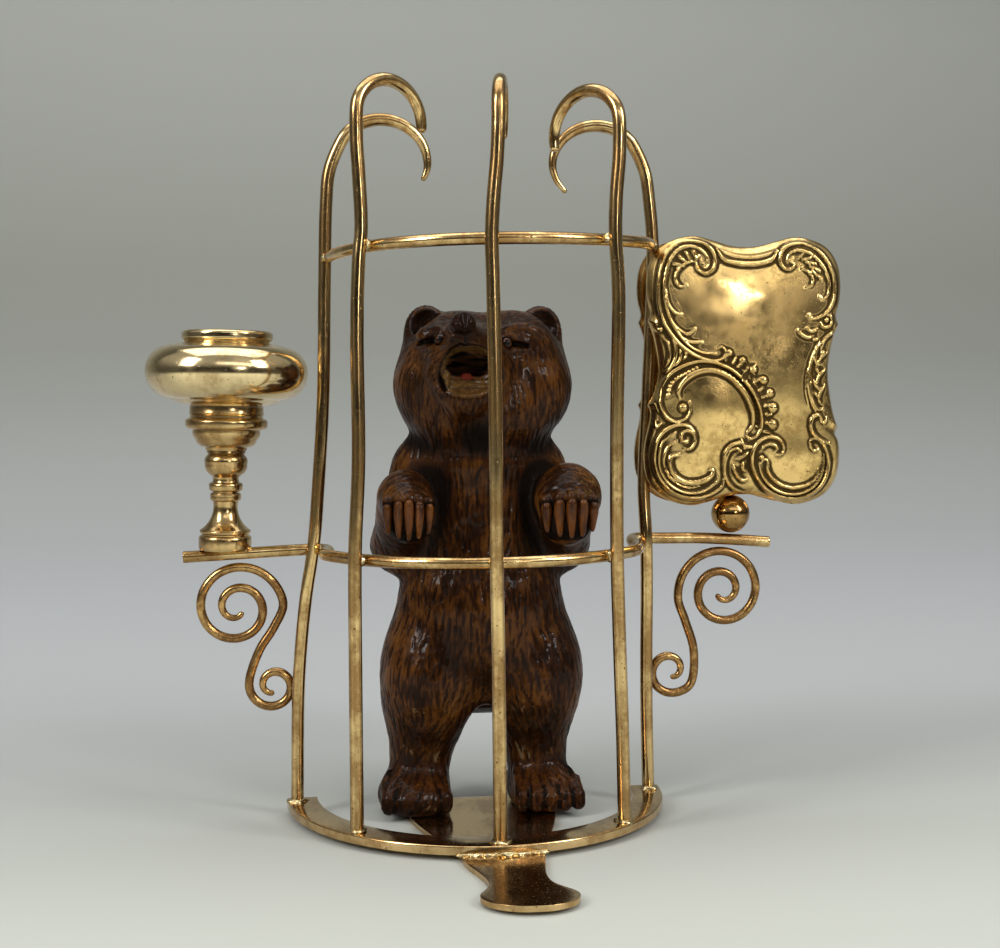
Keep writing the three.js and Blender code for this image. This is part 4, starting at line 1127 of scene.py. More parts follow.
NOSE = np.array([-5.5, -25, 113.6])
TONGUE = np.array([-3.9, -15.8, 102.1])


def within(points, centre, radii):
    """Distance of each point from a centre, as a share of the radii along x, y and z."""
    return np.linalg.norm((points - centre) / np.array(radii), axis=1)


def claw_ends(arm, i):
    """Root and tip of one claw of an arm."""
    x = arm["paw"][0] + (i - 2) * arm["spread"]
    y = -25.1 + 0.5 * (i - 2) ** 2
    return (x, y, 74.2 - 0.25 * (i - 2) ** 2), (x - (i - 2) * 0.15, y - 0.2, 65.9 + 0.3 * (i - 2) ** 2)


def model_trunk(clay):
    """Belly, rump and shoulders."""
    clay.ball((1.4, 0, 46), (20, 17, 25), 1)
    clay.ball((1.4, 5, 36), (19.5, 14.5, 16), 5)
    clay.ball((1.5, 1.5, 70), (18.5, 15.5, 19), 6)
    clay.ball((1.6, 4.5, 85), (16.5, 13, 12), 6)
    clay.ball((1.4, -3.5, 82), (13.5, 10.5, 9), 4)


def model_legs(clay):
    """Thighs, shins and feet with their toes, and the arch cut between the legs."""
    for leg in LEGS:
        clay.ball((leg["hip"], -1, 32), (12, 14.6, 17), 4)
        clay.limb((leg["knee"], -0.5, 23), 8.9, (leg["ankle"], -1.5, 9), 7, 4)
        clay.ball((leg["foot"], -4.5, 4.2), (8.6, 11.5, 6.2), 3)
        for i in range(TOES):
            x = leg["foot"] + (i - 2) * 3.3
            y = leg["toes"] - 1.6 * math.cos((i - 2) * 0.7)
            clay.limb((x, y + 6.8, 9.2), 1.2, (x, y + 0.5, 5), 1.7, 1.6)
            clay.limb((x, y + 0.5, 5), 1.7, (x, y, 3.3), 1.8, 0.5)
        for i in range(TOES - 1):
            x = leg["foot"] + (i - 1.5) * 3.3
            y = leg["toes"] - 1.6 * math.cos((i - 1.5) * 0.7)
            clay.limb((x, y + 4.4, 12.5), 0.05, (x, y - 0.2, 5.8), 0.3, 0.4, -1)
            clay.limb((x, y - 0.2, 5.8), 0.3, (x, y - 1.5, 1.6), 0.5, 0.4, -1)
    clay.cut((1.4, 0, 15.5), (4.6, 40, 10.5), 1.5)


def model_arms(clay):
    """Arms that hang at the sides, forearms that come forward, drooping paws, and the claws' knuckles."""
    for arm in ARMS:
        shoulder = -11.7 if arm["elbow"] < 0 else 14.7
        thick, (paw_x, tip_x) = arm["thick"], arm["paw"]
        clay.limb((shoulder, 3, 80), 8, (arm["elbow"], 0, 62.5), 6.6, 4)
        clay.limb((arm["elbow"], -1, 63), 6.4, (arm["wrist"], -14, 74.6), thick, 3)
        clay.limb((paw_x, thick - 25, 73.5), thick - 1, (tip_x, thick - 26, 69.5), thick - 1.8, 2)
        for i in range(CLAWS):
            root, _ = claw_ends(arm, i)
            clay.ball((root[0], root[1] + 1.6, root[2] + 1), (arm["claw"], 1.6, 1.5), 0.8)


def model_head(clay):
    """The head, thrown back and turned a little to the left."""
    # Skull, cheeks, throat, crown, temples and muzzle
    clay.ball((2, 0, 103.5), (16.8, 15, 13.6), 4)
    clay.ball((-7.8, -2.5, 99.5), (11.2, 12, 13), 4)
    clay.ball((10.8, -2.5, 99.8), (12, 12, 13), 4)
    clay.ball((1.4, -5.5, 93.5), (14.5, 12, 10), 4)
    clay.ball((-5, -2, 109), (10, 12, 8.6), 3)
    clay.ball((9, -2, 109), (10, 12, 8.8), 3)
    clay.limb((-12.2, 1.5, 111), 4.1, (-13, 1, 101), 5.4, 3)
    clay.limb((17.1, 1.5, 111), 4.1, (17.2, 1, 101), 5.6, 3)
    clay.ball((-3.4, -13, 104), (9.6, 8.5, 9.6), 3)
    clay.limb((-0.8, -10, 107.2), 6.4, (-4.9, -21.6, 110.6), 4.0, 3)
    # Upper lip in two halves, jaw, lower lip, nose and brows
    clay.limb((-4.5, -21.3, 109), 3.2, (-10.0, -16.3, 102.3), 2.8, 2)
    clay.limb((-4.5, -21.3, 109), 3.2, (2.8, -15.8, 102.3), 2.8, 2)
    clay.limb((-1.5, -9, 97), 6.4, (-4, -16.8, 97), 4.6, 3)
    clay.ball((-3.8, -16.2, 98.4), (7, 5.4, 3.4), 2)
    clay.ball(NOSE, (2.8, 2.7, 2.55), 0.7)
    clay.ball((-10, -11.2, 112), (4.4, 2.6, 2.0), 3)
    clay.ball((8, -11.4, 111.8), (4.8, 2.6, 2.0), 3)
    # Ears
    for x in (-11.2, 15.9):
        clay.ball((x, 0.5, 113.4), (5.15, 3.3, 5.7), 1.5)


def ruff_place(turn, radius):
    """Place of x and y round the neck."""
    return 1.5 + radius * 1.07 * math.sin(turn), -0.5 - radius * 0.93 * math.cos(turn)


def model_ruff(clay):
    """Pointed locks that hang from the cheeks over the neck."""
    draw = random.Random(11)
    for i in range(RUFF_LOCKS):
        a = math.radians(i / (RUFF_LOCKS - 1) * 330 - 165)
        drop = draw.uniform(-1.2, 2.0) + (0.8 if i % 2 else 0)
        wide = draw.uniform(1.8, 2.4)
        tip = a + (0.12 * math.sin(a) + draw.uniform(-0.05, 0.05))
        clay.limb((*ruff_place(a, 14.6), 94 - drop), wide, (*ruff_place(tip, 13.1), 84.2 - drop), 0.4, 0.7)


def model_hollows(clay):
    """Hollows of the ears, open mouth with its tongue, nostrils and sockets of the eyes."""
    for x in (-11.6, 16.4):
        clay.cut((x, -3.2, 114.6), (3.6, 2.8, 3.9), 0.8)
    # Open mouth: the recess, the gums' arch in it, the throat, the shelf of the lower jaw and the tongue
    clay.cut((-3.6, -23.5, 103), (7.4, 6.3, 5.3), 0.5)
    clay.cut(THROAT, (4.8, 9.0, 3.0), 0.3)
    clay.ball((-3.9, -14.2, 98.6), (7.2, 6.0, 4.0), 0.5)
    clay.ball(TONGUE, (1.4, 4.0, 0.8), 0.3)
    # Nostrils and the cleft that opens upwards between them
    clay.limb((NOSE[0] + 0.1, -27.6, 116.6), 1.7, (NOSE[0] + 0.1, -27.2, 111), 0.15, 0.25, -1)
    for side in (-1, 1):
        clay.cut((NOSE[0] + 2.5 * side, NOSE[1] - 1.2, NOSE[2] - 1.2), (0.7, 1.2, 0.5), 0.3)
    for ex, ey, ez in EYES.values():
        clay.cut((ex, ey, ez), (EYE_RADIUS,) * 3, 0.12)


def model_bear():
    """The bear in rounded masses. Their order counts, because each melts into what is there before it."""
    clay = Clay()
    for step in (model_trunk, model_legs, model_arms, model_head, model_ruff, model_hollows):
        step(clay)
    return clay


def face_lines():
    """Fine lines of the face: points of x and z, half width, and height, below 0 for a groove."""
    lines = [
        # Lower lip, fold between cheek and lip, edge of the upper lip, and middle line to the nose
        ([(-10.7, 99.6), (-9.6, 98.7), (-7.8, 98), (-4.5, 97.5), (-1.6, 97.8), (0.6, 98.6),
          (2.4, 99.9)], 0.75, 0.45),
        ([(-9.4, 99.2), (-9.9, 100.8), (-10.1, 103), (-9.5, 105.3), (-8, 107.2), (-6.2, 108.4)], 1.0, -1.3),
        ([(-8.4, 107.4), (-4.5, 108.5), (-0.6, 107.9), (2.9, 105.8), (4.4, 102.4), (3.8, 99.9)], 0.7, -0.5),
        ([(-5.3, 110.9), (-5.1, 109.9), (-4.7, 108.8)], 0.5, -0.5),
        # Gums' arch and the pale line on the lower jaw
        ([(-8.8, 100.2), (-8.5, 102.6), (-7.7, 105), (-6, 106.8), (-3.9, 107.5), (-1.4, 106.9), (0.8, 105),
          (1.8, 102.4), (2, 100.2)], 0.9, 0.6),
        ([(-8, 101.2), (-6, 101), (-4, 101), (-1.8, 101), (1.2, 101.2)], 0.4, 0.3),
        ([(-8.6, 100), (-6.6, 99.4), (-4.2, 99.2), (-1.4, 99.4), (1.4, 100)], 0.4, -0.35),
        # Brows
        ([(-13.8, 110.8), (-12, 112.5), (-9.4, 113.4), (-7.2, 112.7)], 1.7, 0.7),
        ([(4.8, 112.8), (7.2, 113.5), (10.2, 113.5), (13.8, 112)], 1.7, 0.7),
    ]
    # Dark slit outwards from the eye, upper lid and lower lid, from the eye's middle
    lids = (
        ([(1.1, -0.1), (3, -0.2), (5, -0.7)], 0.85, -1.1),
        ([(-1.7, 0.2), (-0.7, 1.4), (0.9, 1.5), (2.8, 0.9), (5, 0.3)], 0.7, 0.5),
        ([(-1.7, -0.3), (-0.5, -1.5), (1.3, -1.8), (3.2, -1.8), (5.4, -1.3)], 0.7, 0.5),
    )
    for (ex, _, ez), out in ((EYES["eye_left"], -1), (EYES["eye_right"], 1)):
        for line, half, height in lids:
            lines.append(([(ex + out * dx, ez + dz) for dx, dz in line], half, height))
    return lines


def drawn_face(clay, points):
    """Height of the face's fine lines at each point of the skin."""
    out = np.zeros(len(points))
    front = np.flatnonzero((points[:, 1] < -8) & (points[:, 2] > 95))
    for line, half, height in face_lines():
        course = clay.course(line)
        low, high = course.min(0) - 2, course.max(0) + 2
        near = front[((points[front] > low) & (points[front] < high)).all(1)]
        best = np.full(len(near), 9.0)
        for a, b in zip(course, course[1:]):
            ap = points[near] - a
            t = np.clip(ap @ (b - a) / ((b - a) @ (b - a)), 0, 1)
            best = np.minimum(best, np.linalg.norm(ap - t[:, None] * (b - a), axis=1))
        out[near] += height * np.clip(1 - (best / half) ** 2, 0, 1) ** 1.5
    return out


def fur_flow(points, skin):
    """The way the carved fur lies at each point, along the skin."""
    x, y, z = points.T
    flow = np.zeros_like(points)
    flow[:, 2] = -1
    # Hips and thighs: outwards on the way down
    flow[:, 0] = 0.22 * np.sin((x - 1.4) / 9) * ramp(60, 35, z)
    # Head: away from the nose, then down over the cheeks and the back
    from_nose = points - np.array([-5.2, -25, 110])
    far = np.linalg.norm(from_nose, axis=1)
    radial = from_nose / far[:, None]
    hang = ramp(9, 24, far) * ramp(118, 104, z)
    head = radial * (1 - hang)[:, None] + np.array([0, 0, -1.3]) * hang[:, None]
    head[:, 0] += 0.3 * hang * np.sign(x - 1.5) * ramp(4, 16, np.abs(x - 1.5))
    on_head = ramp(84, 90, z)[:, None]
    flow = flow * (1 - on_head) + head * on_head
    # Forearms: arcs round the claws' roots
    for arm in ARMS:
        from_paw = points - np.array([arm["paw"][0], -22, 72])
        reach = np.linalg.norm(from_paw, axis=1)
        arcs_there = ramp(17, 12, reach) * ramp(2, -5, y) * ramp(58, 62, z)
        circle = np.cross(skin, from_paw / reach[:, None])
        circle *= np.sign(circle[:, :1] + 1e-9)
        flow = flow * (1 - arcs_there)[:, None] + circle * arcs_there[:, None]
    # Feet: from the ankle forwards and out to the toes
    for leg in LEGS:
        from_ankle = points - np.array([leg["ankle"], 3, 13])
        on_foot = ramp(11, 7, z) * ramp(12, 9, np.abs(x - leg["foot"]))
        flow = flow * (1 - on_foot)[:, None] + from_ankle * 0.1 * on_foot[:, None]
    flow -= skin * (flow * skin).sum(1)[:, None]
    return flow / np.maximum(1e-6, np.linalg.norm(flow, axis=1))[:, None]


# Kinds of carved stroke: length, pitch across, half width and depth
STROKES = {
    "body": (7.5, 1.25, 0.46, 0.26),
    "cheek": (8.5, 1.1, 0.42, 0.24),
    "face": (3.2, 0.9, 0.36, 0.16),
    "wrist": (6.5, 0.95, 0.4, 0.2),
    "foot": (6.5, 1.4, 0.5, 0.28),
}
KINDS = list(STROKES)
STROKE_STEPS = 16
STROKE_CELL = 4.0
STARTS_TRIED = 26000
CELLS_AROUND = [(dx, dy, dz) for dx in (-1, 0, 1) for dy in (-1, 0, 1) for dz in (-1, 0, 1)]


def stroke_kind(points):
    """Index of the kind of stroke at each point, or -1 where the wood is left smooth."""
    _, y, z = points.T
    kind = np.full(len(points), KINDS.index("body"))
    kind[z > 85] = KINDS.index("cheek")
    muzzle = within(points, (-4.5, -20, 107), (11, 12, 10)) < 1
    kind[muzzle | ((z > 107) & (y < 2))] = KINDS.index("face")
    kind[z < 9] = KINDS.index("foot")
    for arm in ARMS:
        reach = np.linalg.norm(points - np.array([arm["paw"][0], -22, 72]), axis=1)
        kind[(reach < 15) & (y < -2) & (z > 60) & (z < 84)] = KINDS.index("wrist")
    kind[smooth_places(points) > 0.5] = -1
    return kind


def near_claws(points):
    """Distance from the nearest claw's middle line, as a share of the claw's radius there."""
    out = np.full(len(points), 99.0)
    for arm in ARMS:
        for i in range(CLAWS):
            a, b = (np.array(p) for p in claw_ends(arm, i))
            along = b - a
            off = points - a
            t = np.clip(off @ along / (along @ along), 0, 1)
            radius = arm["claw"] + (0.5 - arm["claw"]) * t
            out = np.minimum(out, np.linalg.norm(off - t[:, None] * along, axis=1) / radius)
    return out


def smooth_places(points):
    """1 under the claws, on nose, eyes, mouth and soles, and at the neck's seam, where no fur is carved."""
    out = np.maximum(ramp(2.4, 1.8, near_claws(points)), ramp(1.3, 0.2, np.abs(points[:, 2] - NECK)))
    out = np.maximum(out, ramp(3.9, 3.2, np.linalg.norm(points - NOSE, axis=1)))
    for eye in EYES.values():
        out = np.maximum(out, ramp(3.0, 2.2, np.linalg.norm(points - eye, axis=1)))
    out = np.maximum(out, ramp(1.1, 0.95, within(points, MOUTH, MOUTH_RADII)))
    return np.maximum(out, ramp(2.4, 1.8, points[:, 2]))


def crowded(grid, key, place, along_flow, length, pitch):
    """Whether a stroke that starts at the place would lie on one that the grid of cells already holds."""
    for dx, dy, dz in CELLS_AROUND:
        for taken in grid.get((key[0] + dx, key[1] + dy, key[2] + dz), ()):
            off = taken - place
            along = off @ along_flow
            across2 = off @ off - along * along
            if (along / (0.62 * length)) ** 2 + across2 / pitch**2 < 1:
                return True
    return False


def stroke_seeds(points, kinds, flow, seed):
    """Starts of the strokes, spread so that each keeps its pitch to the next one beside it."""
    draw = np.random.default_rng(seed)
    order = draw.permutation(len(points))[:STARTS_TRIED]
    grid = {}
    chosen = []
    for i in order:
        if kinds[i] < 0:
            continue
        length, pitch, _, _ = STROKES[KINDS[kinds[i]]]
        key = tuple((points[i] // STROKE_CELL).astype(int))
        if not crowded(grid, key, points[i], flow[i], length, pitch):
            grid.setdefault(key, []).append(points[i])
            chosen.append(i)
    return np.array(chosen)


def carve_strokes(clay, points, skin, seed):
    """Depth of the carved fur at each point of the skin, and how far into a cut it lies, 0 to 1."""
    kinds = stroke_kind(points)
    flow = fur_flow(points, skin)
    seeds = stroke_seeds(points, kinds, flow, seed)
    draw = np.random.default_rng(seed + 1)
    kind = kinds[seeds]
    sizes = np.array([STROKES[k] for k in KINDS])[kind]
    length = sizes[:, 0] * draw.uniform(0.6, 1.25, len(seeds))
    half = sizes[:, 2] * draw.uniform(0.75, 1.25, len(seeds))
    depth = sizes[:, 3] * draw.uniform(0.6, 1.2, len(seeds))
    lean = draw.normal(0, 0.16, len(seeds))
    p, n = points[seeds].copy(), skin[seeds].copy()
    samples, widths, depths = [], [], []
    for k in range(STROKE_STEPS):
        u = (k + 0.5) / STROKE_STEPS
        swell = np.sin(math.pi * min(1, u * 1.25 + 0.05)) ** 0.6 if u < 0.9 else 0.45
        samples.append(p.copy())
        widths.append(half * (0.45 + 0.55 * swell))
        depths.append(depth * swell)
        t = fur_flow(p, n)
        t = t + np.cross(n, t) * lean[:, None]
        p = p + t * (length / STROKE_STEPS)[:, None]
        p, n = clay.settled(p, 1, 0.6)
    samples, widths, depths = np.vstack(samples), np.concatenate(widths), np.concatenate(depths)
    tree = kdtree.KDTree(len(samples))
    for i, s in enumerate(samples):
        tree.insert(s, i)
    tree.balance()
    found = [tree.find(p)[1:] for p in points]
    index = np.array([f[0] for f in found])
    gap = np.array([f[1] for f in found])
    t = gap / widths[index]
    calm = 1 - smooth_places(points)
    cut = np.clip(1 - t**1.25, 0, 1) * calm
    lip = np.exp(-(((t - 1.25) / 0.4) ** 2)) * calm
    return cut * depths[index] - 0.18 * lip * depths[index], cut * np.clip(depths[index] / 0.4, 0, 1)


def voxelled(obj, cell):
    """The object's mesh rebuilt from cubes of the given size."""
    modifier = obj.modifiers.new("voxels", "REMESH")
    modifier.mode = "VOXEL"
    modifier.voxel_size = cell
    graph = bpy.context.evaluated_depsgraph_get()
    mesh = bpy.data.meshes.new_from_object(obj.evaluated_get(graph))
    obj.modifiers.clear()
    old = obj.data
    obj.data = mesh
    bpy.data.meshes.remove(old)


def cut_off(obj, level, side, close):
    """Cuts the mesh off level at a height and keeps one side. Returns which points lie on the cut."""
    bm = bmesh.new()
    bm.from_mesh(obj.data)
    bmesh.ops.bisect_plane(
        bm, geom=bm.verts[:] + bm.edges[:] + bm.faces[:], plane_co=(0, 0, level), plane_no=(0, 0, side),
        clear_inner=True,
    )
    open_edges = [e for e in bm.edges if e.is_boundary]
    if close:
        bmesh.ops.holes_fill(bm, edges=open_edges, sides=0)
    bmesh.ops.triangulate(bm, faces=[f for f in bm.faces if len(f.verts) > 4])
    bm.verts.index_update()
    rim = np.zeros(len(bm.verts), bool)
    rim[[v.index for e in open_edges for v in e.verts]] = True
    bm.to_mesh(obj.data)
    bm.free()
    return rim


def move_points(obj, points):
    obj.data.vertices.foreach_set("co", points.ravel())
    obj.data.update()


def skin_mesh(name, clay, cell, side):
    """The part of the bear above the neck (side 1) or below it (side -1), rebuilt on the clay's skin and open
    at the neck. Returns the object, its points and which of them lie on the neck's rim."""
    bm = bmesh.new()
    bm.from_mesh(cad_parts["bear"].data)
    bmesh.ops.remove_doubles(bm, verts=bm.verts, dist=1e-6)
    part = new_object(name, bm, 1 / MM)
    # First with coarse cells and a little past the neck, closed there
    for size, passes, over in ((COARSE_CELL, 9, OVERLAP), (cell, 4, 0)):
        voxelled(part, size)
        level = NECK - side * over
        rim = cut_off(part, level, side, over > 0)
        before = points_of(part.data)
        points, _ = clay.settled(before, passes, 0.7)
        points[:, 2] = np.maximum(points[:, 2], SOLE)
        if over:
            low = (points[:, 2] - level) * side < 0.5
            points[low] = before[low]
        move_points(part, points)
    return part, points, rim


def painted_shade_amount(clay, points, skin):
    """How little room each point has in front of it, painted as shade on the wood: 0 in the open, about 1 in
    a narrow cut.
    """
    hollow = np.zeros(len(points))
    # Painted shade wherever little room lies in front of the skin, stronger round the neck under the ruff's
    # locks
    neck = np.exp(-(((points[:, 2] - 86.5) / 4) ** 2))
    for reach, weight in ((1.2, 0.35 + 0.7 * neck), (3, 0.4 + 0.2 * neck), (7, 0.45)):
        free = np.clip(clay.distance(points + skin * reach), 0, reach)
        hollow += weight * (1 - free / reach)
    # Painted shade under the jaw at the throat and in the gaps between the claws, darker than their shape
    # makes them, and the feet darker towards the bottom
    under = within(points, (-0.5, -12, 88.5), (6.5, 9, 5.5))
    hollow = np.maximum(hollow, 0.22 + 0.5 * ramp(1.15, 0.5, under))
    for arm in ARMS:
        beside = ramp(2.7, 2.3, np.abs(points[:, 0] - arm["paw"][0]) / arm["spread"]) * (points[:, 1] < -19)
        beside *= ramp(75.5, 73.5, points[:, 2]) * ramp(64.5, 66, points[:, 2])
        hollow = np.maximum(hollow, 0.85 * beside)
    return hollow + 0.12 * ramp(12, 7, points[:, 2])


def skin_marks(points, groove, hollow):
    """What the walnut finish reads at each point, from 0 to 1."""
    inside = within(points, MOUTH, MOUTH_RADII)
    deep = within(points, THROAT, (5.0, 9.2, 3.2))
    return {
        "groove": np.clip(groove, 0, 1),
        # Shade painted on the wood in the cuts and recesses
        "hollow": np.clip((hollow - 0.22) * 1.5, 0, 1),
        "mouth": ramp(1.08, 0.98, inside) * (points[:, 1] < -12),
        # The back of the open mouth, painted near black, partly as shade
        "deep": ramp(1.1, 1.0, deep) * (points[:, 1] < -10),
        "tongue": ramp(1.15, 0.95, within(points, TONGUE, (1.6, 4.3, 1.0))),
        "nose": ramp(3.2, 2.8, within(points, NOSE, (1, 1, 0.95))),
    }


def bear_part(name, seed, clay, cell, side):
    """The head with its ruff (side 1) or the body (side -1), closed at the neck, carved and marked."""
    part, points, rim = skin_mesh(name, clay, cell, side)
    points, skin = clay.settled(points, 1, 0.3)
    lumps = 0.2 * np.array([noise.noise(Vector(p) * 0.28) for p in points]) * (1 - smooth_places(points))
    cut, groove = carve_strokes(clay, points, skin, seed)
    drawn = drawn_face(clay, points) if side > 0 else np.zeros(len(points))
    hollow = painted_shade_amount(clay, points, skin)
    carved = points - skin * (cut + np.maximum(0, lumps) + 0.05 - drawn)[:, None]
    carved[:, 2] = np.maximum(carved[:, 2], SOLE)
    carved[rim, 2] = NECK
    move_points(part, carved * MM)
    for mark, values in skin_marks(points, groove + np.maximum(0, -drawn) * 1.2, hollow).items():
        values_of(part.data, mark, values)
    bm = bmesh.new()
    bm.from_mesh(part.data)
    bmesh.ops.holes_fill(bm, edges=[e for e in bm.edges if e.is_boundary], sides=0)
    bmesh.ops.recalc_face_normals(bm, faces=bm.faces)
    bm.to_mesh(part.data)
    bm.free()
    return part


def claws_piece(clay, material):
    """Claws of both paws, tapered along the skin from knuckle to tip."""
    bm = bmesh.new()
    for arm in ARMS:
        for i in range(CLAWS):
            (x, _, z), (tip_x, _, tip_z) = claw_ends(arm, i)
            line = clay.course([(x, z + 0.6), (x * 0.5 + tip_x * 0.5, z * 0.5 + tip_z * 0.5), (tip_x, tip_z)])
            # No point lies more than 1 mm behind the foremost
            line[:, 1] = np.minimum(line[:, 1], line[:, 1].min() + 1.0)
            share = np.linspace(0, 1, len(line))
            swell = 0.38 * np.sin(np.clip(share * 4, 0, math.pi / 2))
            radii = arm["claw"] * (0.72 + swell - 0.75 * share**1.3)
            swept(bm, line, radii, 14, 0.9, 0.9)
    bmesh.ops.recalc_face_normals(bm, faces=bm.faces)
    claws = new_object("carved_claws", bm)
    values_of(claws.data, "claw", np.ones(len(claws.data.vertices)))
    dress(claws, material, (), 75)


def bear_piece(carving, material):
    """Claws, body and head, all on the skin of the same clay."""
    clay = model_bear()
    claws_piece(clay, material)
    for name, cell, side in (("carved_body", carving.cell, -1), ("carved_head", carving.head_cell, 1)):
        dress(bear_part(name, carving.seed, clay, cell / MM, side), material, ("bear",), 75)


def eye_piece(node, look, material):
    """A glass ball with the angle from its look direction marked on it."""
    bm = bmesh.new()
    bmesh.ops.create_uvsphere(bm, u_segments=40, v_segments=24, radius=EYE_RADIUS)
    turn = Vector((0, 0, 1)).rotation_difference(Vector(look))
    bmesh.ops.rotate(bm, cent=(0, 0, 0), matrix=turn.to_matrix(), verts=bm.verts)
    away = [v.co.normalized().angle(Vector(look)) for v in bm.verts]
    bmesh.ops.translate(bm, vec=EYES[node], verts=bm.verts)
    obj = new_object("glass_" + node, bm)
    values_of(obj.data, "from_front", away)
    return dress(obj, material, (node,), 180)


# Settings


def colour_setting(name, description, default):
    return bpy.props.FloatVectorProperty(name=name, description=description, subtype="COLOR", default=default)


class WireSizes(bpy.types.PropertyGroup):
    step: bpy.props.FloatProperty(
        name="Step", description="Distance between the rings of a wire", default=0.0007, unit="LENGTH"
    )
    sides: bpy.props.IntProperty(name="Sides", description="Sides of a wire's section", default=24)
    clean: colour_setting("Brass", "Colour of the polished wire", (0.7, 0.5, 0.23))
    brown: colour_setting("Tarnish", "Colour of the tarnished wire", (0.24, 0.115, 0.03))


class CupSizes(bpy.types.PropertyGroup):
    steps: bpy.props.IntProperty(name="Steps", description="Steps round a turned piece", default=112)
    clean: colour_setting("Brass", "Colour of the polished cup", (0.76, 0.60, 0.33))


class ClipLook(bpy.types.PropertyGroup):
    clean: colour_setting("Brass", "Colour of the embossed sheet", (0.74, 0.51, 0.2))


class BearLook(bpy.types.PropertyGroup):
    cell: bpy.props.FloatProperty(
        name="Cell", description="Size of the cells that the bear's skin is made of", default=0.00045,
        unit="LENGTH", precision=5,
    )
    head_cell: bpy.props.FloatProperty(
        name="Head cell", description="Size of the cells that the head's skin is made of", default=0.00032,
        unit="LENGTH", precision=5,
    )
    seed: bpy.props.IntProperty(name="Seed", description="Seed of the carved strokes", default=5)
    wood_dark: colour_setting("Dark wood", "Colour under thick varnish", (0.0105, 0.0036, 0.0012))
    wood_mid: colour_setting("Wood", "Colour of the wood", (0.046, 0.0135, 0.0024))
    wood_amber: colour_setting("Amber", "Colour under thin varnish", (0.135, 0.052, 0.0095))
    varnish: bpy.props.FloatProperty(
        name="Varnish", description="Weight of the clear coat", subtype="FACTOR", default=0.23
    )


class StageLook(bpy.types.PropertyGroup):
    paper: colour_setting("Paper", "Colour of the floor and the cove", (0.62, 0.64, 0.63))
    lens: bpy.props.FloatProperty(name="Lens", description="Focal length in millimetres", default=53.285)


SETTINGS = {
    "stand_wires": WireSizes, "stand_cup": CupSizes, "stand_clip": ClipLook, "stand_bear": BearLook,
    "stand_stage": StageLook,
}


# Operators


class STAND_OT_stage(bpy.types.Operator):
    """Floor with its cove, soft lights and the camera"""

    bl_idname = "stand.stage"
    bl_label = "Stage"

    def execute(self, context):
        look = context.scene.stand_stage
        camera_at_photo(look.lens)
        cove(look.paper)
        lights()
        room()
        context.scene.view_settings.view_transform = "Standard"
        return {"FINISHED"}


class STAND_OT_wires(bpy.types.Operator):
    """Cage bars, hoops with the side arms, and scroll brackets"""

    bl_idname = "stand.wires"
    bl_label = "Wires"

    def execute(self, context):
        sizes = context.scene.stand_wires
        looks = finishes(context.scene)
        bars, scroll = looks["cage"](), looks["bracket"]()
        for node, tip in BAR_TIPS.items():
            wire_piece("cage_" + node, node, bars, sizes.step / MM, sizes.sides, (0.1, tip))
        for node in ("lower_hoop", "upper_hoop"):
            wire_piece("cage_" + node, node, bars, sizes.step / MM, sizes.sides, (0.18, 0.18))
        for node in ("scroll_left", "scroll_right"):
            wire_piece("bracket_" + node, node, scroll, 0.8 * sizes.step / MM, 20, (0.9, 0.9))
        return {"FINISHED"}


class STAND_OT_base(bpy.types.Operator):
    """Foot plate and half ring"""

    bl_idname = "stand.base"
    bl_label = "Base"

    def execute(self, context):
        brass = finishes(context.scene)["base"]()
        foot_plate(brass)
        ring_band(brass)
        return {"FINISHED"}


class STAND_OT_cup(bpy.types.Operator):
    """Turned stem and the bowl on it, hollowed out"""

    bl_idname = "stand.cup"
    bl_label = "Cup"

    def execute(self, context):
        sizes = context.scene.stand_cup
        looks = finishes(context.scene)
        for name, node, outline in (
            ("cup_stem", "holder_stem", STEM_OUTLINE), ("cup_bowl", "holder_bowl", BOWL_OUTLINE)
        ):
            bm = bmesh.new()
            turned(bm, arcs(outline), sizes.steps)
            stand_on_arm(bm)
            dress(new_object(name, bm), looks[name](), (node,), 40)
        return {"FINISHED"}


class STAND_OT_clip(bpy.types.Operator):
    """Ball, base strip and the two plates of the matchbox clip"""

    bl_idname = "stand.clip"
    bl_label = "Matchbox clip"

    def execute(self, context):
        looks = finishes(context.scene)
        plate_piece("clip_front", "clip_front_plate", -1, OrnamentTable(), looks["clip_front"]())
        plate_piece("clip_back", "clip_back_plate", 1, None, looks["clip_back"]())
        clip_ball(looks["clip_round"]())
        clip_strip(looks["clip_strip"]())
        return {"FINISHED"}


class STAND_OT_solder(bpy.types.Operator):
    """Solder at the joints"""

    bl_idname = "stand.solder"
    bl_label = "Solder"

    def execute(self, context):
        material = finishes(context.scene)["solder"]()
        solder_feet(material)
        solder_hoops(material)
        return {"FINISHED"}


class STAND_OT_bear(bpy.types.Operator):
    """Carved bear with its glass eyes"""

    bl_idname = "stand.bear"
    bl_label = "Bear"

    def execute(self, context):
        look = context.scene.stand_bear
        looks = finishes(context.scene)
        bear_piece(look, looks["carved"]())
        glass = looks["glass"]()
        eye_piece("eye_left", (-0.15, -0.93, 0.05), glass)
        eye_piece("eye_right", (0.05, -0.95, 0.02), glass)
        return {"FINISHED"}


STEPS = (
    STAND_OT_stage, STAND_OT_wires, STAND_OT_base, STAND_OT_cup, STAND_OT_clip, STAND_OT_solder, STAND_OT_bear
)


# Stage


AIM_HEIGHT = 79.21
CAMERA_DISTANCE = 351.112


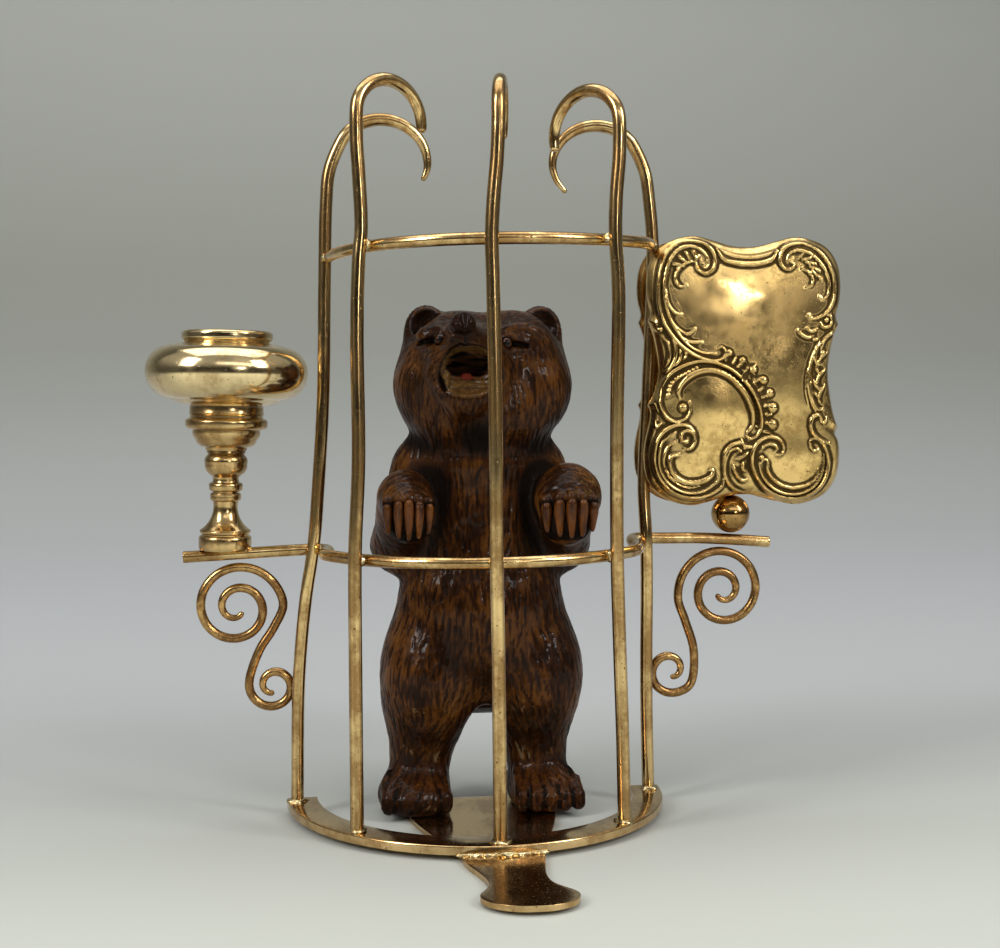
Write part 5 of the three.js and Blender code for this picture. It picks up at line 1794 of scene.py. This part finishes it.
def camera_at_photo(lens):
    """The photograph's viewing angle: where the camera stands, in millimetres, its heading and its tilt."""
    data = bpy.data.cameras.new("camera")
    data.lens = lens
    data.sensor_width = 36
    data.sensor_fit = "HORIZONTAL"
    data.shift_x = 0.0259
    data.clip_start = 0.01
    data.clip_end = 20
    camera = bpy.data.objects.new("camera", data)
    bpy.context.scene.collection.objects.link(camera)
    heading, tilt, roll = math.radians(-7.4081), math.radians(2.9734), math.radians(-0.1355)
    back = Vector((math.sin(heading) * math.cos(tilt), -math.cos(heading) * math.cos(tilt), math.sin(tilt)))
    camera.location = (Vector((0, 0, AIM_HEIGHT)) + back * CAMERA_DISTANCE) * MM
    aim = (-back).to_track_quat("-Z", "Y").to_matrix()
    camera.rotation_euler = (aim @ Matrix.Rotation(roll, 3, "Z")).to_euler()
    bpy.context.scene.camera = camera


# Half the floor's width, start and radius of the cove, and top of the wall, in metres
FLOOR_HALF = 2.5
COVE_START = 0.45
COVE_RADIUS = 0.7
WALL_TOP = 3.0
# Place along the floor and up the wall, painted light and shade on the paper there, and tone of its blue:
# bright in front, a painted shadow band across the floor at the stand, and painted falloff up the cove
PAPER_PAINTED_LIGHT = [
    (0, 1.1, 0.92), (0.1, 0.9, 0.92), (0.168, 0.72, 0.92), (0.207, 0.56, 0.96), (0.25, 0.61, 1.02),
    (0.38, 0.63, 1.05), (0.492, 0.54, 0.98), (0.6, 0.41, 0.92), (0.66, 0.41, 0.9), (0.828, 0.55, 0.93),
]


def cove(paper):
    """Pale floor that sweeps up behind into a wall, with light and shade painted on it along the floor and up
    the wall.
    """
    bm = bmesh.new()
    start = bm.verts.new((-FLOOR_HALF, -FLOOR_HALF, 0))
    end = bm.verts.new((FLOOR_HALF, -FLOOR_HALF, 0))
    edge = bm.edges.new((start, end))
    places = [(COVE_START, 0)]
    for a in range(10, 91, 10):
        t = math.radians(a)
        places.append((COVE_START + COVE_RADIUS * math.sin(t), COVE_RADIUS * (1 - math.cos(t))))
    places.append((COVE_START + COVE_RADIUS, WALL_TOP))
    y, z = -FLOOR_HALF, 0
    for next_y, next_z in places:
        made = bmesh.ops.extrude_edge_only(bm, edges=[edge])["geom"]
        verts = [v for v in made if isinstance(v, bmesh.types.BMVert)]
        bmesh.ops.translate(bm, vec=(0, next_y - y, next_z - z), verts=verts)
        edge = next(e for e in made if isinstance(e, bmesh.types.BMEdge) and all(v in verts for v in e.verts))
        y, z = next_y, next_z
    bmesh.ops.recalc_face_normals(bm, faces=bm.faces)
    floor = new_object("stage_floor", bm, 1)
    floor.data.shade_smooth()
    material, shade, _ = start_material("paper")
    place = shade.node("ShaderNodeTexCoord", None, None, "Object")
    _, y, z = axes_of(shade, place)
    along = (y + z) * 0.4 + 0.2
    red, green, blue = paper
    # The paper's own colour times the painted light and shade
    stops = [(at, rgb(red * painted_light, green * painted_light, blue * painted_light * cool)) for at, painted_light, cool in PAPER_PAINTED_LIGHT]
    colour = shade.node("ShaderNodeValToRGB", {"stops": stops}, {0: along.clipped()}, "Color")
    finish_material(material, shade, Base_Color=colour, Roughness=0.55)
    floor.data.materials.append(material)


def soft_box(name, place, target, size, power, colour=(1, 1, 1)):
    data = bpy.data.lights.new(name, "AREA")
    data.shape = "RECTANGLE"
    data.size, data.size_y = size
    data.energy = power
    data.color = colour
    lamp = bpy.data.objects.new(name, data)
    lamp.location = place
    aim = Vector(target) - Vector(place)
    lamp.rotation_euler = aim.to_track_quat("-Z", "Y").to_euler()
    bpy.context.scene.collection.objects.link(lamp)


def lights():
    """Soft boxes at both sides of the front, a broad one overhead, one for the floor, and a small window."""
    middle = (0, 0, 0.08)
    soft_box("box_left", (-0.9, -0.55, 0.75), middle, (0.35, 0.6), 10)
    soft_box("box_right", (0.8, -0.65, 0.7), middle, (0.3, 0.55), 7)
    soft_box("box_over", (0, 0.1, 1.3), middle, (1.5, 1.0), 11)
    soft_box("box_floor", (0.25, -0.85, 0.6), (0.25, -0.8, 0), (1.0, 0.35), 1.6)
    soft_box("window", (0.4, -1.15, 0.35), middle, (0.16, 0.09), 0.7)


def room():
    """A dim room round the stand: pale above, dark behind the camera, with one lit window."""
    world = bpy.data.worlds.new("room")
    bpy.context.scene.world = world
    world.use_nodes = True
    world.node_tree.nodes.clear()
    shade = Shade(world.node_tree)
    where = shade.node("ShaderNodeTexCoord", None, None, "Generated")
    x, y, z = axes_of(shade, where)
    colour = z.between(0.05, 0.6).blend(rgb(0.08, 0.08, 0.077), rgb(0.38, 0.38, 0.37))
    right = x.between(0.1, 0.24) * (1 - x.between(0.4, 0.6)) * z.between(0.05, 0.12)
    right = right * (0 - y).between(0.3, 0.6)
    colour = (right * 0.85).blend(colour, rgb(0.62, 0.6, 0.57))
    level = (z - 0.07) * (z - 0.07)
    band = 1 - level.between(0.0004, 0.003)
    front = (0 - y).between(0.3, 0.75) * (1 - level.between(0.012, 0.07)) * (1 - right)
    front = (front + band * (0 - y).between(0.3, 0.6)).clipped()
    colour = (front * 0.96).blend(colour, rgb(0.018, 0.013, 0.008))
    back = shade.node("ShaderNodeBackground", None, {"Color": colour, "Strength": 1.0})
    link_output(shade, back, "ShaderNodeOutputWorld")


class STAND_PT_panel(bpy.types.Panel):
    """Steps that build the stand, with their settings"""

    bl_idname = "STAND_PT_panel"
    bl_label = "Carved bear smoking stand"
    bl_space_type = "VIEW_3D"
    bl_region_type = "UI"
    bl_category = TAB

    def draw(self, context):
        for step in STEPS:
            self.layout.operator(step.bl_idname)
        for name, group in SETTINGS.items():
            settings = getattr(context.scene, name)
            for prop in group.__annotations__:
                self.layout.prop(settings, prop)


def register():
    for group in SETTINGS.values():
        bpy.utils.register_class(group)
    for name, group in SETTINGS.items():
        setattr(bpy.types.Scene, name, bpy.props.PointerProperty(type=group))
    for step in STEPS:
        bpy.utils.register_class(step)
    bpy.utils.register_class(STAND_PT_panel)


def unregister():
    bpy.utils.unregister_class(STAND_PT_panel)
    for step in reversed(STEPS):
        bpy.utils.unregister_class(step)
    for name, group in SETTINGS.items():
        delattr(bpy.types.Scene, name)
        bpy.utils.unregister_class(group)


def main():
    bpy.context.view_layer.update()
    register()
    for step in STEPS:
        area, name = step.bl_idname.split(".")
        getattr(getattr(bpy.ops, area), name)()


if __name__ == "__main__":
    main()
